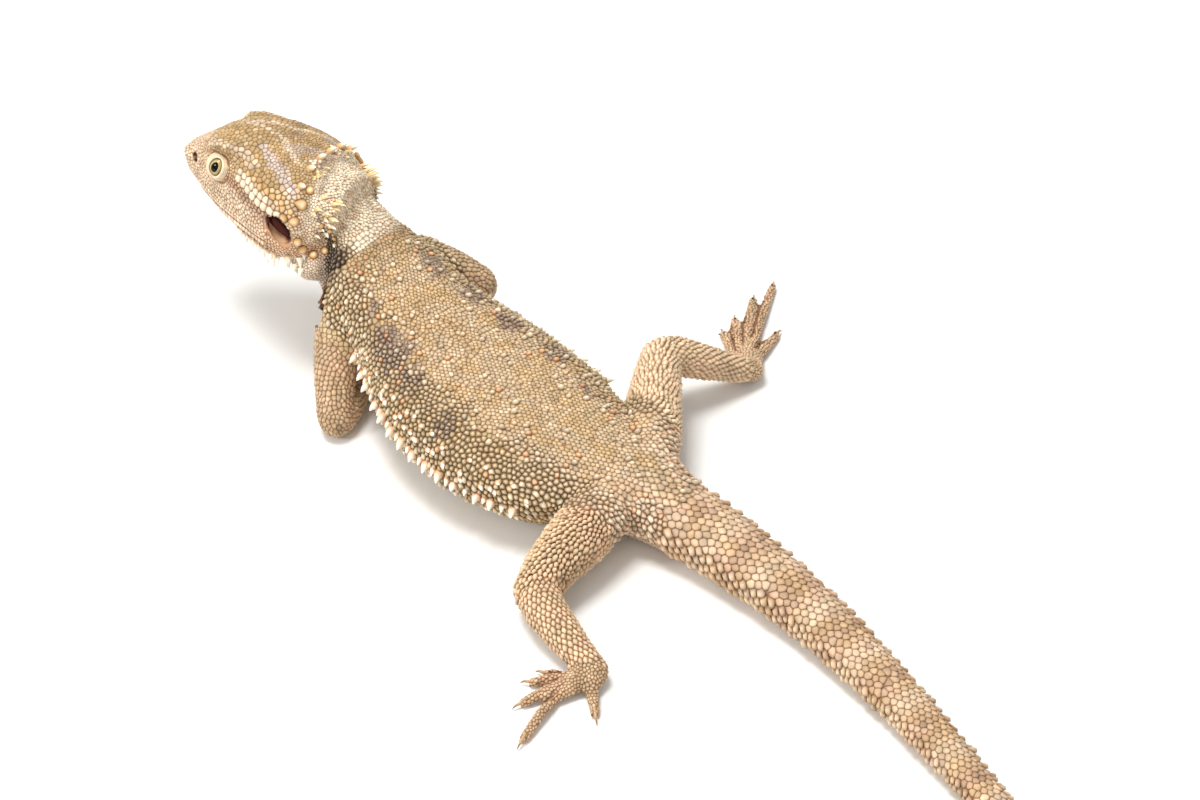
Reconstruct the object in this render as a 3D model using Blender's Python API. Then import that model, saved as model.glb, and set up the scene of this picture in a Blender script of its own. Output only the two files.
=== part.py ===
"""Bearded dragon, Pogona vitticeps, half grown: a still, life-size museum model.

The animal lies with its belly on the floor, chest and head raised, looking ahead and a
little to its left. It faces -Y and its left side is +X. The origin is on the floor under
the middle of the resting belly.

The flesh is made whole: smooth tubes for the head, body and limbs are fused into one
surface, which is then cut flat where it rests on the floor and parted by thin cuts into
the pieces that a person would name. Spines are joined to the piece that they grow from.
Eyes, eardrums and claws are solids of their own, set with a fine gap.

Lengths are in millimetres and are brought to metres where a mesh is made.
"""

import math

import bmesh
import bpy
import numpy as np
from mathutils import Matrix, Vector
from mathutils.bvhtree import BVHTree

MM = 0.001

# Driving sizes
HEAD_LENGTH = 43.5
GAP = 0.3

# How the flesh is fused: grain of the fused surface, rounds of smoothing, and fineness
VOXEL = 0.6
FUSING_PASSES = 9
FLESH_TRIANGLES = 3100

# Skin colours and finishes: base colour, roughness
SKIN_SAND = ((0.62, 0.47, 0.31), 0.75)
SKIN_TAIL = ((0.60, 0.44, 0.31), 0.75)
SKIN_LEGS = ((0.63, 0.47, 0.34), 0.75)
EARDRUM_RED = ((0.14, 0.035, 0.025), 0.60)
EYE_GOLD = ((0.09, 0.08, 0.05), 0.15)
CLAW_HORN = ((0.12, 0.085, 0.06), 0.45)


# ---------------------------------------------------------------- curves and meshes

def smooth_rows(rows, per_span=6):
    """Rows of numbers, filled in between by a Catmull-Rom curve."""
    rows = np.asarray(rows, float)
    padded = np.vstack([2 * rows[0] - rows[1], rows, 2 * rows[-1] - rows[-2]])
    filled = []
    for i in range(len(rows) - 1):
        before, start, end, after = padded[i:i + 4]
        for t in np.arange(per_span) / per_span:
            filled.append(0.5 * (2 * start + (end - before) * t
                                 + (2 * before - 5 * start + 4 * end - after) * t ** 2
                                 + (3 * start - before - 3 * end + after) * t ** 3))
    filled.append(rows[-1])
    return np.array(filled)


def unit(vector):
    vector = np.asarray(vector, float)
    return vector / np.linalg.norm(vector)


def mesh_from_rings(name, rings):
    """A closed tube of rings with the same number of points, its ends fanned shut."""
    rings = np.asarray(rings) * MM
    bm = bmesh.new()
    layers = [[bm.verts.new(point) for point in ring] for ring in rings]
    count = len(layers[0])
    for near, far in zip(layers, layers[1:]):
        for i in range(count):
            j = (i + 1) % count
            bm.faces.new((near[i], near[j], far[j], far[i]))
    for layer, ring in ((layers[0], rings[0]), (layers[-1], rings[-1])):
        middle = bm.verts.new(ring.mean(axis=0))
        for i in range(count):
            bm.faces.new((layer[i], layer[(i + 1) % count], middle))
    bmesh.ops.recalc_face_normals(bm, faces=bm.faces)
    mesh = bpy.data.meshes.new(name)
    bm.to_mesh(mesh)
    bm.free()
    return mesh


def new_object(name, mesh):
    obj = bpy.data.objects.new(name, mesh)
    bpy.context.scene.collection.objects.link(obj)
    return obj


def section(half_width, top, bottom, level, squareness, points=28):
    """Side and height of a rounded section; level is the height of its widest place."""
    outline = []
    for angle in np.arange(points) * 2 * math.pi / points:
        across, rise = math.cos(angle), math.sin(angle)
        side = half_width * math.copysign(abs(across) ** (2 / squareness), across)
        reach = top - level if rise > 0 else level - bottom
        outline.append((side, level + reach * math.copysign(abs(rise) ** (2 / squareness), rise)))
    return outline


def upright_tube(name, stations):
    """A tube along x, y, z with half_width, top and bottom, its sections kept upright."""
    rows = smooth_rows(stations)
    rings = []
    for i, row in enumerate(rows):
        along = unit(rows[min(i + 1, len(rows) - 1), :3] - rows[max(i - 1, 0), :3])
        across = unit(np.cross((0, 0, 1), along))
        rise = np.cross(along, across)
        half_width, top, bottom = np.maximum(row[3:6], 0.2)
        rings.append([row[:3] + across * side + rise * height
                      for side, height in section(half_width, top, -bottom, 0.06 * top, 2.2)])
    return mesh_from_rings(name, rings)


def round_tube(name, stations, points=14):
    """A round tube along x, y, z with a radius, with hemispherical ends."""
    rows = smooth_rows(stations)
    ends = []
    for row, inner in ((rows[0], rows[1]), (rows[-1], rows[-2])):
        outward = unit(row[:3] - inner[:3])
        ends.append([np.append(row[:3] + outward * row[3] * math.sin(turn),
                               row[3] * math.cos(turn)) for turn in np.radians((28, 56, 80))])
    rows = np.vstack([ends[0][::-1], rows, ends[1]])
    rise = unit(np.cross(rows[1, :3] - rows[0, :3], (0.31, 0.17, 0.93)))
    rings = []
    for i, row in enumerate(rows):
        along = unit(rows[min(i + 1, len(rows) - 1), :3] - rows[max(i - 1, 0), :3])
        across = unit(np.cross(along, rise))
        rise = np.cross(across, along)
        turns = np.arange(points) * 2 * math.pi / points
        rings.append([row[:3] + row[3] * (across * math.cos(t) + rise * math.sin(t))
                      for t in turns])
    return mesh_from_rings(name, rings)


def ball(name, centre, radii, axes=np.eye(3), segments=20, rings=12):
    """An ellipsoid, its radii along the rows of axes."""
    bm = bmesh.new()
    bmesh.ops.create_uvsphere(bm, u_segments=segments, v_segments=rings, radius=1.0)
    shape = Matrix((axes.T * np.asarray(radii) * MM).tolist()).to_4x4()
    bmesh.ops.transform(bm, matrix=Matrix.Translation(Vector(centre) * MM) @ shape, verts=bm.verts)
    bmesh.ops.recalc_face_normals(bm, faces=bm.faces)
    mesh = bpy.data.meshes.new(name)
    bm.to_mesh(mesh)
    bm.free()
    return mesh


def joined(name, meshes):
    """One object of several meshes, which stay bodies of their own inside it."""
    bm = bmesh.new()
    for mesh in meshes:
        bm.from_mesh(mesh)
    mesh = bpy.data.meshes.new(name)
    bm.to_mesh(mesh)
    bm.free()
    return new_object(name, mesh)


def settle(obj):
    """Replaces an object's mesh with what its modifiers make of it."""
    graph = bpy.context.evaluated_depsgraph_get()
    mesh = bpy.data.meshes.new_from_object(obj.evaluated_get(graph))
    obj.modifiers.clear()
    obj.data = mesh


def combine(obj, other, operation):
    """A Boolean with another object, which is then removed."""
    modifier = obj.modifiers.new("combine", "BOOLEAN")
    modifier.operation = operation
    modifier.solver = "EXACT"
    modifier.object = other
    settle(obj)
    bpy.data.objects.remove(other)


# ---------------------------------------------------------------- the head's own frame

HEAD_SNOUT = np.array((15.0, -119.1, 48.0))
HEAD_TURN = math.radians(17)
HEAD_ROLL = math.radians(10)


def head_axes():
    """Unit vectors from the snout to the back, to the animal's left, and up."""
    ahead = np.array((math.sin(HEAD_TURN), -math.cos(HEAD_TURN), 0))
    level_left = np.cross((0, 0, 1), ahead)
    left = level_left * math.cos(HEAD_ROLL) + np.array((0, 0, math.sin(HEAD_ROLL)))
    return np.array((-ahead, left, np.cross(ahead, left)))


HEAD_AXES = head_axes()


def head_point(back, left, up):
    """A place in the head in millimetres, from its measures in head lengths."""
    return HEAD_SNOUT + HEAD_LENGTH * (np.array((back, left, up)) @ HEAD_AXES)


# Head sections: distance back, half width, top, bottom, widest level, squareness
HEAD_SECTIONS = (
    (0.000, 0.030, 0.024, -0.045, 0.000, 2.0),
    (0.020, 0.072, 0.060, -0.080, -0.005, 2.0),
    (0.080, 0.122, 0.112, -0.125, -0.020, 2.2),
    (0.180, 0.175, 0.184, -0.178, -0.065, 2.4),
    (0.300, 0.228, 0.264, -0.228, -0.110, 2.6),
    (0.420, 0.278, 0.322, -0.270, -0.145, 2.7),
    (0.550, 0.328, 0.346, -0.302, -0.165, 2.7),
    (0.700, 0.382, 0.344, -0.325, -0.180, 2.7),
    (0.850, 0.420, 0.312, -0.335, -0.180, 2.6),
    (0.980, 0.410, 0.264, -0.325, -0.160, 2.4),
    (1.080, 0.345, 0.210, -0.300, -0.110, 2.2),
    (1.200, 0.270, 0.150, -0.250, -0.060, 2.0),
)

# Swellings on each side of the head: centre, then radii, all in head lengths
HEAD_SWELLINGS = (
    ((0.495, 0.205, 0.232), (0.215, 0.068, 0.060)),
    ((0.350, 0.128, 0.168), (0.160, 0.072, 0.062)),
    ((0.384, 0.200, 0.090), (0.100, 0.072, 0.098)),
    ((0.800, 0.270, 0.060), (0.200, 0.112, 0.150)),
    ((0.880, 0.300, -0.222), (0.190, 0.115, 0.110)),
    ((1.060, 0.275, -0.345), (0.130, 0.090, 0.110)),
    ((0.085, 0.072, 0.030), (0.070, 0.058, 0.056)),
)
THROAT_SWELLINGS = (
    ((0.400, 0.0, -0.205), (0.240, 0.160, 0.075)),
    ((0.620, 0.0, -0.240), (0.280, 0.220, 0.078)),
    ((0.880, 0.0, -0.275), (0.340, 0.270, 0.090)),
)


def head_meshes():
    rings = []
    for back, half_width, top, bottom, level, squareness in smooth_rows(HEAD_SECTIONS):
        rings.append([head_point(back, side, height) for side, height
                      in section(half_width, top, bottom, level, squareness, points=32)])
    meshes = [mesh_from_rings("head tube", rings)]
    swellings = [(np.array(centre) * (1, side, 1), radii)
                 for centre, radii in HEAD_SWELLINGS for side in (1, -1)]
    for centre, radii in swellings + list(THROAT_SWELLINGS):
        meshes.append(ball("swelling", head_point(*centre), np.array(radii) * HEAD_LENGTH,
                           HEAD_AXES))
    return meshes


# ---------------------------------------------------------------- neck, trunk and tail

# Each station: x, y, z of the middle, half width, rise to the top, drop to the bottom
BODY_STATIONS = (
    (3.5, -85.0, 46.0, 11.0, 9.0, 10.0),
    (2.3, -78.0, 42.0, 11.6, 9.5, 10.5),
    (1.8, -71.0, 37.0, 12.6, 10.2, 11.0),
    (1.6, -64.0, 31.8, 14.6, 11.2, 12.0),
    (1.6, -56.0, 27.2, 16.8, 12.0, 12.8),
    (2.4, -46.0, 22.6, 18.4, 12.6, 13.8),
    (3.6, -34.0, 18.2, 23.0, 13.0, 14.4),
    (5.0, -20.0, 15.4, 26.3, 13.2, 14.8),
    (5.8, -5.0, 14.2, 26.8, 13.0, 14.8),
    (4.4, 9.0, 13.4, 25.0, 12.2, 14.0),
    (1.0, 20.0, 12.4, 19.4, 10.6, 12.8),
    (-1.2, 30.0, 11.2, 14.2, 9.4, 11.3),
    (-2.4, 38.0, 9.8, 11.8, 8.6, 9.9),
)
TAIL_STATIONS = (
    (-1.8, 34.0, 10.4, 12.6, 8.9, 10.5),
    (-3.0, 46.0, 8.4, 10.2, 7.6, 8.6),
    (-3.8, 60.0, 7.4, 9.0, 6.7, 7.6),
    (-2.7, 87.0, 6.1, 7.4, 5.6, 6.3),
    (1.3, 112.5, 5.1, 6.1, 4.7, 5.3),
    (7.3, 138.0, 4.2, 5.0, 3.9, 4.4),
    (13.2, 159.0, 3.5, 4.2, 3.4, 3.7),
    (19.8, 181.0, 2.8, 3.4, 2.8, 3.0),
    (26.8, 202.0, 2.1, 2.6, 2.1, 2.3),
    (34.2, 222.0, 1.4, 1.8, 1.5, 1.6),
    (40.6, 238.0, 0.8, 1.0, 0.9, 1.0),
)

# ---------------------------------------------------------------- legs

# Each station: x, y, z, radius. Joints are the middle stations of each chain.
ARM_LEFT = (
    ((9, -62, 27, 7.6), (15.5, -59.5, 23, 6.9), (22.0, -55, 15.5, 6.0), (27.0, -50.5, 9.0, 5.3),
     (29.8, -47.2, 4.8, 5.1)),
    ((29.8, -47.2, 4.8, 5.1), (25.5, -48.6, 4.6, 4.8), (19.0, -51.6, 4.0, 4.1),
     (12.0, -54.8, 3.2, 3.3)),
)
ARM_RIGHT = (
    ((-7, -62, 28, 7.2), (-13, -58.5, 27.5, 6.2), (-18.5, -53, 24.5, 5.2),
     (-22.8, -46.8, 20.0, 4.8)),
    ((-22.8, -46.8, 20.0, 4.8), (-25.5, -49.5, 15.5, 4.6), (-28.0, -54.0, 9.5, 4.0),
     (-29.0, -59.5, 4.4, 3.2)),
)
LEG_LEFT = (
    ((5, 31, 12, 8.6), (14, 32.3, 11.5, 8.2), (24, 34, 10.8, 7.3), (33, 35.2, 9.6, 6.2),
     (39.8, 37, 8.3, 5.4)),
    ((39.8, 37, 8.3, 5.4), (42.5, 42.5, 7.6, 5.4), (44.4, 50, 6.4, 4.8), (45.6, 57.5, 5.0, 3.8),
     (46.2, 63.5, 3.9, 3.3)),
)
LEG_RIGHT = (
    ((-4, 30, 12, 8.4), (-12, 25.5, 13.2, 8.2), (-21, 18.8, 15.4, 7.2), (-29.5, 12.4, 17.3, 6.0),
     (-35.4, 8.2, 18.4, 5.2)),
    ((-35.4, 8.2, 18.4, 5.2), (-40.5, 9.0, 16.6, 5.3), (-48.0, 12.3, 11.8, 4.7),
     (-56.0, 16.0, 6.8, 3.7), (-61.2, 18.0, 4.1, 3.2)),
)

# Each digit: base, then tip, on the floor plane. The palm runs from the limb to each base.
HAND_LEFT = (
    ((9.6, -51.4), (5.6, -48.4)),
    ((6.6, -53.2), (0.0, -51.6)),
    ((5.6, -55.8), (-2.8, -57.6)),
    ((6.4, -58.4), (-0.2, -64.2)),
    ((9.2, -59.6), (7.0, -66.0)),
)
HAND_RIGHT = (
    ((-26.8, -63.6), (-22.8, -66.6)),
    ((-27.4, -66.2), (-24.6, -72.4)),
    ((-29.8, -67.4), (-29.8, -75.8)),
    ((-32.4, -66.6), (-36.0, -73.4)),
    ((-33.8, -63.8), (-39.4, -67.0)),
)
FOOT_LEFT = (
    ((52.0, 57.8), (53.6, 53.2)),
    ((54.6, 57.2), (58.0, 52.8)),
    ((57.2, 58.6), (64.4, 56.2)),
    ((58.2, 60.8), (72.4, 64.7)),
    ((50.6, 66.4), (54.8, 71.6)),
)
FOOT_RIGHT = (
    ((-63.8, 8.6), (-69.6, -0.2)),
    ((-67.4, 6.2), (-76.2, -1.8)),
    ((-71.4, 6.0), (-86.2, -3.8)),
    ((-73.4, 7.8), (-94.4, -3.8)),
    ((-67.6, 14.0), (-79.8, 10.8)),
)
DIGIT_RADIUS = 1.6
DIGIT_TIP_RADIUS = 1.3
DIGIT_ARCH = 0.9
DIGIT_PRESS = 0.25
PALM_TAPER = 0.9
CLAW_LENGTH = 2.1
CLAW_RADIUS = 0.70
CLAW_TIP_RADIUS = 0.12
CLAW_TIP_HEIGHT = 0.35
CLAW_ARCH = 0.63


def digit_path(base, tip):
    """A digit's stations: it arches over its middle and presses on the floor at the tip."""
    base, tip = np.array(base, float), np.array(tip, float)
    stations = []
    for t in (0.0, 0.35, 0.7, 1.0):
        radius = DIGIT_RADIUS + (DIGIT_TIP_RADIUS - DIGIT_RADIUS) * t
        height = radius - DIGIT_PRESS + DIGIT_ARCH * math.sin(math.pi * min(1.0, t + 0.12))
        stations.append((*(base + (tip - base) * t), height, radius))
    return stations


def paw_meshes(wrist, digits):
    """A palm or sole that spreads from the limb's end to each digit's base, and the digits."""
    meshes = []
    for base, tip in digits:
        path = digit_path(base, tip)
        palm_middle = 0.5 * (np.array(wrist) + path[0])
        palm_middle[2] = 0.5 * (wrist[2] + DIGIT_RADIUS)
        palm_middle[3] = 0.5 * (wrist[3] + DIGIT_RADIUS) * PALM_TAPER
        start = (wrist[0], wrist[1], wrist[2] * PALM_TAPER, wrist[3] * PALM_TAPER)
        meshes.append(round_tube("palm", (start, palm_middle, path[0])))
        meshes.append(round_tube("digit", path))
    return meshes


# ---------------------------------------------------------------- cuts

def slab(middle, normal, half_across, half_up, thickness=GAP):
    """A thin box across a limb or the body."""
    normal = unit(normal)
    upward = (0, 0, 1) if abs(normal[2]) < 0.8 else (0, 1, 0)
    across = unit(np.cross(upward, normal))
    rise = np.cross(normal, across)
    rings = []
    for offset in (-thickness / 2, thickness / 2):
        centre = np.array(middle, float) + normal * offset
        rings.append([centre + across * half_across * x + rise * half_up * y
                      for x, y in ((-1, -1), (1, -1), (1, 1), (-1, 1))])
    return mesh_from_rings("slab", rings)


# The mouth line from the side, back and up in head lengths, and the rear end of the jaw
MOUTH_LINE = ((-0.10, -0.040), (0.02, -0.046), (0.14, -0.066), (0.30, -0.092), (0.46, -0.124),
              (0.62, -0.170), (0.76, -0.216))
JAW_END = ((0.80, -0.300), (0.81, -0.450))


def jaw_cut():
    """A sheet that follows the mouth line and turns down behind the jaw."""
    path = np.vstack([smooth_rows(MOUTH_LINE, 3), JAW_END])
    half = GAP / 2 / HEAD_LENGTH
    steps = np.gradient(path, axis=0)
    sideways = np.stack([-steps[:, 1], steps[:, 0]], 1)
    sideways /= np.linalg.norm(sideways, axis=1)[:, None]
    outline = np.vstack([path + sideways * half, (path - sideways * half)[::-1]])
    bm = bmesh.new()
    near = [bm.verts.new(head_point(back, -0.6, up) * MM) for back, up in outline]
    far = [bm.verts.new(head_point(back, 0.6, up) * MM) for back, up in outline]
    count = len(outline)
    for i in range(count):
        j = (i + 1) % count
        bm.faces.new((near[i], near[j], far[j], far[i]))
    for side in (near, far):
        for i in range(len(path) - 1):
            bm.faces.new((side[i], side[i + 1], side[count - 2 - i], side[count - 1 - i]))
    bmesh.ops.recalc_face_normals(bm, faces=bm.faces)
    mesh = bpy.data.meshes.new("jaw cut")
    bm.to_mesh(mesh)
    bm.free()
    return mesh


def station_at(stations, y):
    """The body's row at a given y, and its direction there."""
    rows = smooth_rows(stations)
    i = int(np.argmin(abs(rows[:, 1] - y)))
    return rows[i], unit(rows[min(i + 1, len(rows) - 1), :3] - rows[max(i - 1, 0), :3])


def body_cuts():
    cuts = [jaw_cut(), slab(*HEAD_CUT), slab(*SHOULDERS_CUT)]
    for y in TAIL_CUTS:
        row, along = station_at(TAIL_STATIONS, y)
        cuts.append(slab(row[:3], along, row[3] + 2, row[4] + row[5]))
    return cuts


# Cuts behind the head and at the shoulders: middle, normal, half across, half up
HEAD_CUT = (head_point(1.14, 0, -0.10), HEAD_AXES[0] + (0, 0, 0.2), 24, 32)
SHOULDERS_CUT = ((1.6, -65.0, 32.5), (0, 1, -0.12), 19, 19)

# The tail is parted at these y
TAIL_CUTS = (45.0, 84.0, 122.0, 158.0, 196.0)

# Limb cuts, in the same way as the head's
LIMB_CUTS = {
    "shoulder_left": ((20.4, -56.0, 18.4), (0.80, -0.25, -0.55), 13.0, 11.5),
    "elbow_left": ((25.0, -49.4, 7.4), (0.5, -0.06, 0.87), 12.5, 10.5),
    "wrist_left": ((14.6, -53.6, 3.6), (-0.9, -0.42, 0.0), 5.4, 5.4),
    "shoulder_right": ((-17.2, -55.6, 24.5), (-1.0, -0.12, -0.15), 13.0, 12.0),
    "elbow_right": ((-24.0, -47.8, 18.0), (-0.35, -0.1, -1.0), 7.5, 7.5),
    "wrist_right": ((-28.9, -58.6, 5.2), (0.0, -0.75, -0.65), 5.4, 5.6),
    "hip_left": ((18.4, 32.6, 11.4), (1.0, 0.38, 0.0), 12.0, 13.0),
    "knee_left": ((39.4, 38.6, 8.0), (0.45, 1.0, 0.0), 8.5, 9.5),
    "ankle_left": ((47.4, 61.6, 4.3), (0.82, 0.58, 0.0), 8.0, 8.0),
    "hip_right": ((-18.8, 21.6, 14.6), (-1.0, -0.05, 0.0), 11.5, 13.5),
    "knee_right": ((-36.6, 8.4, 18.0), (-1.0, 0.15, -0.35), 8.5, 9.5),
    "ankle_right": ((-58.6, 17.0, 5.3), (-1.0, 0.35, -0.4), 6.0, 7.0),
}


# ---------------------------------------------------------------- eyes, ears and claws

EYE_CENTRE = (0.384, 0.222, 0.092)
EYE_RADIUS = 3.0
EAR_CENTRE = (0.905, 0.388, -0.085)
EAR_HALF_LENGTH = 3.0
EAR_HALF_HEIGHT = 1.9
EAR_DEPTH = 1.5
EAR_CLEARANCE = 3.0
EARDRUM_THICKNESS = 0.7
EARDRUM_PLAY = 0.1


def eye_place(side):
    return head_point(EYE_CENTRE[0], side * EYE_CENTRE[1], EYE_CENTRE[2])


def ear_axes(side):
    """Along the slanting ear opening, across it, and outwards."""
    out = unit(np.array((0.22, side, -0.18)) @ HEAD_AXES)
    long = unit(np.array((0.60, 0.0, -0.80)) @ HEAD_AXES)
    long = unit(long - out * (long @ out))
    return np.array((long, np.cross(out, long), out))


def ear_disc(name, side, grow, near, far):
    """An oval plug in the ear, from one depth to another below the rim."""
    axes = ear_axes(side)
    centre = head_point(EAR_CENTRE[0], side * EAR_CENTRE[1], EAR_CENTRE[2])
    turns = np.arange(16) * 2 * math.pi / 16
    rings = []
    for depth in (near, far):
        rings.append([centre - axes[2] * depth
                      + axes[0] * (EAR_HALF_LENGTH + grow) * math.cos(t)
                      + axes[1] * (EAR_HALF_HEIGHT + grow) * math.sin(t) for t in turns])
    return mesh_from_rings(name, rings)


def claw_mesh(base, tip):
    """A claw set just beyond a digit's flat end, curving down to its point."""
    base, tip = np.array(base, float), np.array(tip, float)
    ahead = unit(np.append(tip - base, 0.0))
    root = digit_end(base, tip) + ahead * GAP
    rings = []
    across = np.cross(ahead, (0, 0, 1))
    for t in (0.0, 0.55, 1.0):
        along = math.sin(t * math.radians(75)) / math.sin(math.radians(75)) * CLAW_LENGTH
        centre = root + ahead * along
        centre[2] += CLAW_ARCH * t * (1 - t) - t ** 2 * (root[2] - CLAW_TIP_HEIGHT)
        radius = max(CLAW_RADIUS * (1 - t) ** 0.7, CLAW_TIP_RADIUS)
        rings.append([centre + radius * (across * math.cos(a) + np.array((0, 0, 1)) * math.sin(a))
                      for a in np.arange(5) * 2 * math.pi / 5])
    return mesh_from_rings("claw", rings)


def digit_end(base, tip):
    """The middle of the flat face at a digit's end."""
    return np.append(np.array(tip, float), DIGIT_TIP_RADIUS)


def digit_trims(digits):
    """A small block beyond each digit's end, which leaves it flat there."""
    blocks = []
    half_side = DIGIT_TIP_RADIUS + 2 * GAP
    depth = 2 * half_side
    for base, tip in digits:
        ahead = unit(np.append(np.subtract(tip, base), 0.0))
        middle = digit_end(base, tip) + ahead * depth / 2
        blocks.append(slab(middle, ahead, half_side, half_side, thickness=depth))
    return blocks


# ---------------------------------------------------------------- spines

# Flank rows: side, number of spines, y of the last; the right one ends at the raised thigh
FLANK_FIRST_Y = -50.0
FLANK_ROWS = ((1, 14, 16.0), (-1, 11, 0.0))
SHOULDER_SAG = 4.5
SHOULDER_SAG_END_Y = -32.0
FLANK_SPINE_LENGTH = 3.0
HEAD_SPINE_LENGTH = 2.6
SPINE_RADIUS = 1.05
SPINE_TIP_RADIUS = 0.12
SPINE_ROOT = 1.2
NAPE_SPINES = 6
NAPE_REACH = math.radians(58)
BEARD_SPINES = 5


def spine(surface, start, outward, direction, length):
    """A four-sided cone, rooted where a line from inside the flesh meets its surface."""
    hit = surface.ray_cast(Vector(start) * MM, Vector(outward).normalized())[0]
    root = np.array(hit) / MM
    direction = unit(direction)
    across = unit(np.cross(direction, (0.2, 0.1, 1.0)))
    rise = np.cross(direction, across)
    rings = []
    for reach, size in ((-SPINE_ROOT, SPINE_RADIUS), (length, SPINE_TIP_RADIUS)):
        rings.append([root + direction * reach
                      + size * (across * math.cos(t) + rise * math.sin(t))
                      for t in np.arange(4) * math.pi / 2])
    return mesh_from_rings("spine", rings)


def flank_spines(surface):
    """The row along each edge of the trunk, each spine pointing out and back."""
    spines = []
    for side, count, last_y in FLANK_ROWS:
        for y in np.linspace(FLANK_FIRST_Y, last_y, count):
            row, _ = station_at(BODY_STATIONS, y)
            ahead = (SHOULDER_SAG_END_Y - y) / (SHOULDER_SAG_END_Y - FLANK_FIRST_Y)
            start = row[:3] - (0, 0, SHOULDER_SAG * max(0.0, ahead))
            spines.append(spine(surface, start, (side, 0, 0), (side, 0.75, 0.10),
                                FLANK_SPINE_LENGTH))
    return spines


def head_spines(surface):
    """The fringe across the nape, and the row behind each corner of the mouth."""
    spines = []
    for turn in np.linspace(-NAPE_REACH, NAPE_REACH, NAPE_SPINES):
        out = np.array((0.15, math.sin(turn), math.cos(turn))) @ HEAD_AXES
        back_and_out = np.array((0.9, 0.7 * math.sin(turn), 0.7 * math.cos(turn))) @ HEAD_AXES
        spines.append(spine(surface, head_point(0.94, 0, 0.0), out, back_and_out,
                            HEAD_SPINE_LENGTH))
    for step in np.linspace(0, 1, BEARD_SPINES):
        for side in (1, -1):
            start = head_point(0.84 + 0.20 * step, 0.1 * side, -0.26 - 0.05 * step)
            out = np.array((0.0, side, -0.12)) @ HEAD_AXES
            down_and_out = np.array((0.45, 0.8 * side, -0.75)) @ HEAD_AXES
            spines.append(spine(surface, start, out, down_and_out, HEAD_SPINE_LENGTH))
    return spines


# ---------------------------------------------------------------- naming the pieces

# Each piece of flesh: about where its middle is, and its finish
PIECES = {
    "head": (head_point(0.60, 0, -0.15), SKIN_SAND),
    "jaw": (head_point(0.42, 0, -0.20), SKIN_SAND),
    "neck": ((1.6, -72.0, 38.0), SKIN_SAND),
    "trunk": ((5.0, -10.0, 14.0), SKIN_SAND),
    "tail_1": ((-1.0, 64.0, 7.0), SKIN_TAIL),
    "tail_2": ((1.0, 103.0, 5.5), SKIN_TAIL),
    "tail_3": ((8.0, 140.0, 4.0), SKIN_TAIL),
    "tail_4": ((16.5, 177.0, 3.0), SKIN_TAIL),
    "tail_5": ((31.0, 217.0, 1.5), SKIN_TAIL),
    "upper_arm_left": ((23.5, -52.5, 12.5), SKIN_LEGS),
    "forearm_left": ((21.5, -50.0, 4.0), SKIN_LEGS),
    "hand_left": ((6.0, -56.0, 2.0), SKIN_LEGS),
    "upper_arm_right": ((-21.0, -50.0, 26.0), SKIN_LEGS),
    "forearm_right": ((-28.5, -50.0, 14.0), SKIN_LEGS),
    "hand_right": ((-30.0, -64.0, 2.0), SKIN_LEGS),
    "thigh_left": ((28.0, 34.5, 10.0), SKIN_LEGS),
    "shank_left": ((43.5, 48.0, 6.5), SKIN_LEGS),
    "foot_left": ((57.0, 60.0, 2.0), SKIN_LEGS),
    "thigh_right": ((-26.0, 15.0, 16.5), SKIN_LEGS),
    "shank_right": ((-47.0, 12.0, 12.0), SKIN_LEGS),
    "foot_right": ((-72.0, 7.0, 2.0), SKIN_LEGS),
}
PAWS = {
    "hand_left": (ARM_LEFT[1][-1], HAND_LEFT),
    "hand_right": (ARM_RIGHT[1][-1], HAND_RIGHT),
    "foot_left": (LEG_LEFT[1][-1], FOOT_LEFT),
    "foot_right": (LEG_RIGHT[1][-1], FOOT_RIGHT),
}


def material(name, finish):
    """A plain material, made once for each name."""
    found = bpy.data.materials.get(name)
    if found:
        return found
    colour, roughness = finish
    made = bpy.data.materials.new(name)
    made.use_nodes = True
    shader = made.node_tree.nodes["Principled BSDF"]
    shader.inputs["Base Color"].default_value = (*colour, 1)
    shader.inputs["Roughness"].default_value = roughness
    shader.inputs["Metallic"].default_value = 0
    return made


def finish_node(obj, name, material_name, finish):
    obj.name = name
    obj.data.name = name
    obj.data.materials.clear()
    obj.data.materials.append(material(material_name, finish))
    obj.data.shade_smooth()


def fused_flesh():
    """All the flesh as one surface, lightened to a few thousand triangles."""
    meshes = head_meshes()
    meshes.append(upright_tube("body", BODY_STATIONS))
    meshes.append(upright_tube("tail", TAIL_STATIONS))
    for limb in (ARM_LEFT, ARM_RIGHT, LEG_LEFT, LEG_RIGHT):
        for length in limb:
            meshes.append(round_tube("limb", length, points=20))
    for wrist, digits in PAWS.values():
        meshes.extend(paw_meshes(wrist, digits))
    flesh = joined("flesh", meshes)
    remesh = flesh.modifiers.new("fuse", "REMESH")
    remesh.mode = "VOXEL"
    remesh.voxel_size = VOXEL * MM
    smooth = flesh.modifiers.new("smooth", "SMOOTH")
    smooth.factor = 0.5
    smooth.iterations = FUSING_PASSES
    settle(flesh)
    lighten = flesh.modifiers.new("lighten", "DECIMATE")
    triangles = sum(len(face.vertices) - 2 for face in flesh.data.polygons)
    lighten.ratio = FLESH_TRIANGLES / triangles
    lighten.use_collapse_triangulate = True
    settle(flesh)
    return flesh


def floor_block():
    """Everything below the floor, which the resting flats are cut by."""
    return slab((0, 60, -10), (0, 0, 1), 300, 300, thickness=20)


def sockets():
    """The eye sockets and the ear openings."""
    meshes = []
    for side in (1, -1):
        meshes.append(ball("socket", eye_place(side), [EYE_RADIUS + GAP] * 3, HEAD_AXES, 14, 9))
        meshes.append(ear_disc("ear opening", side, GAP, -EAR_CLEARANCE, EAR_DEPTH + GAP))
    return meshes


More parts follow.
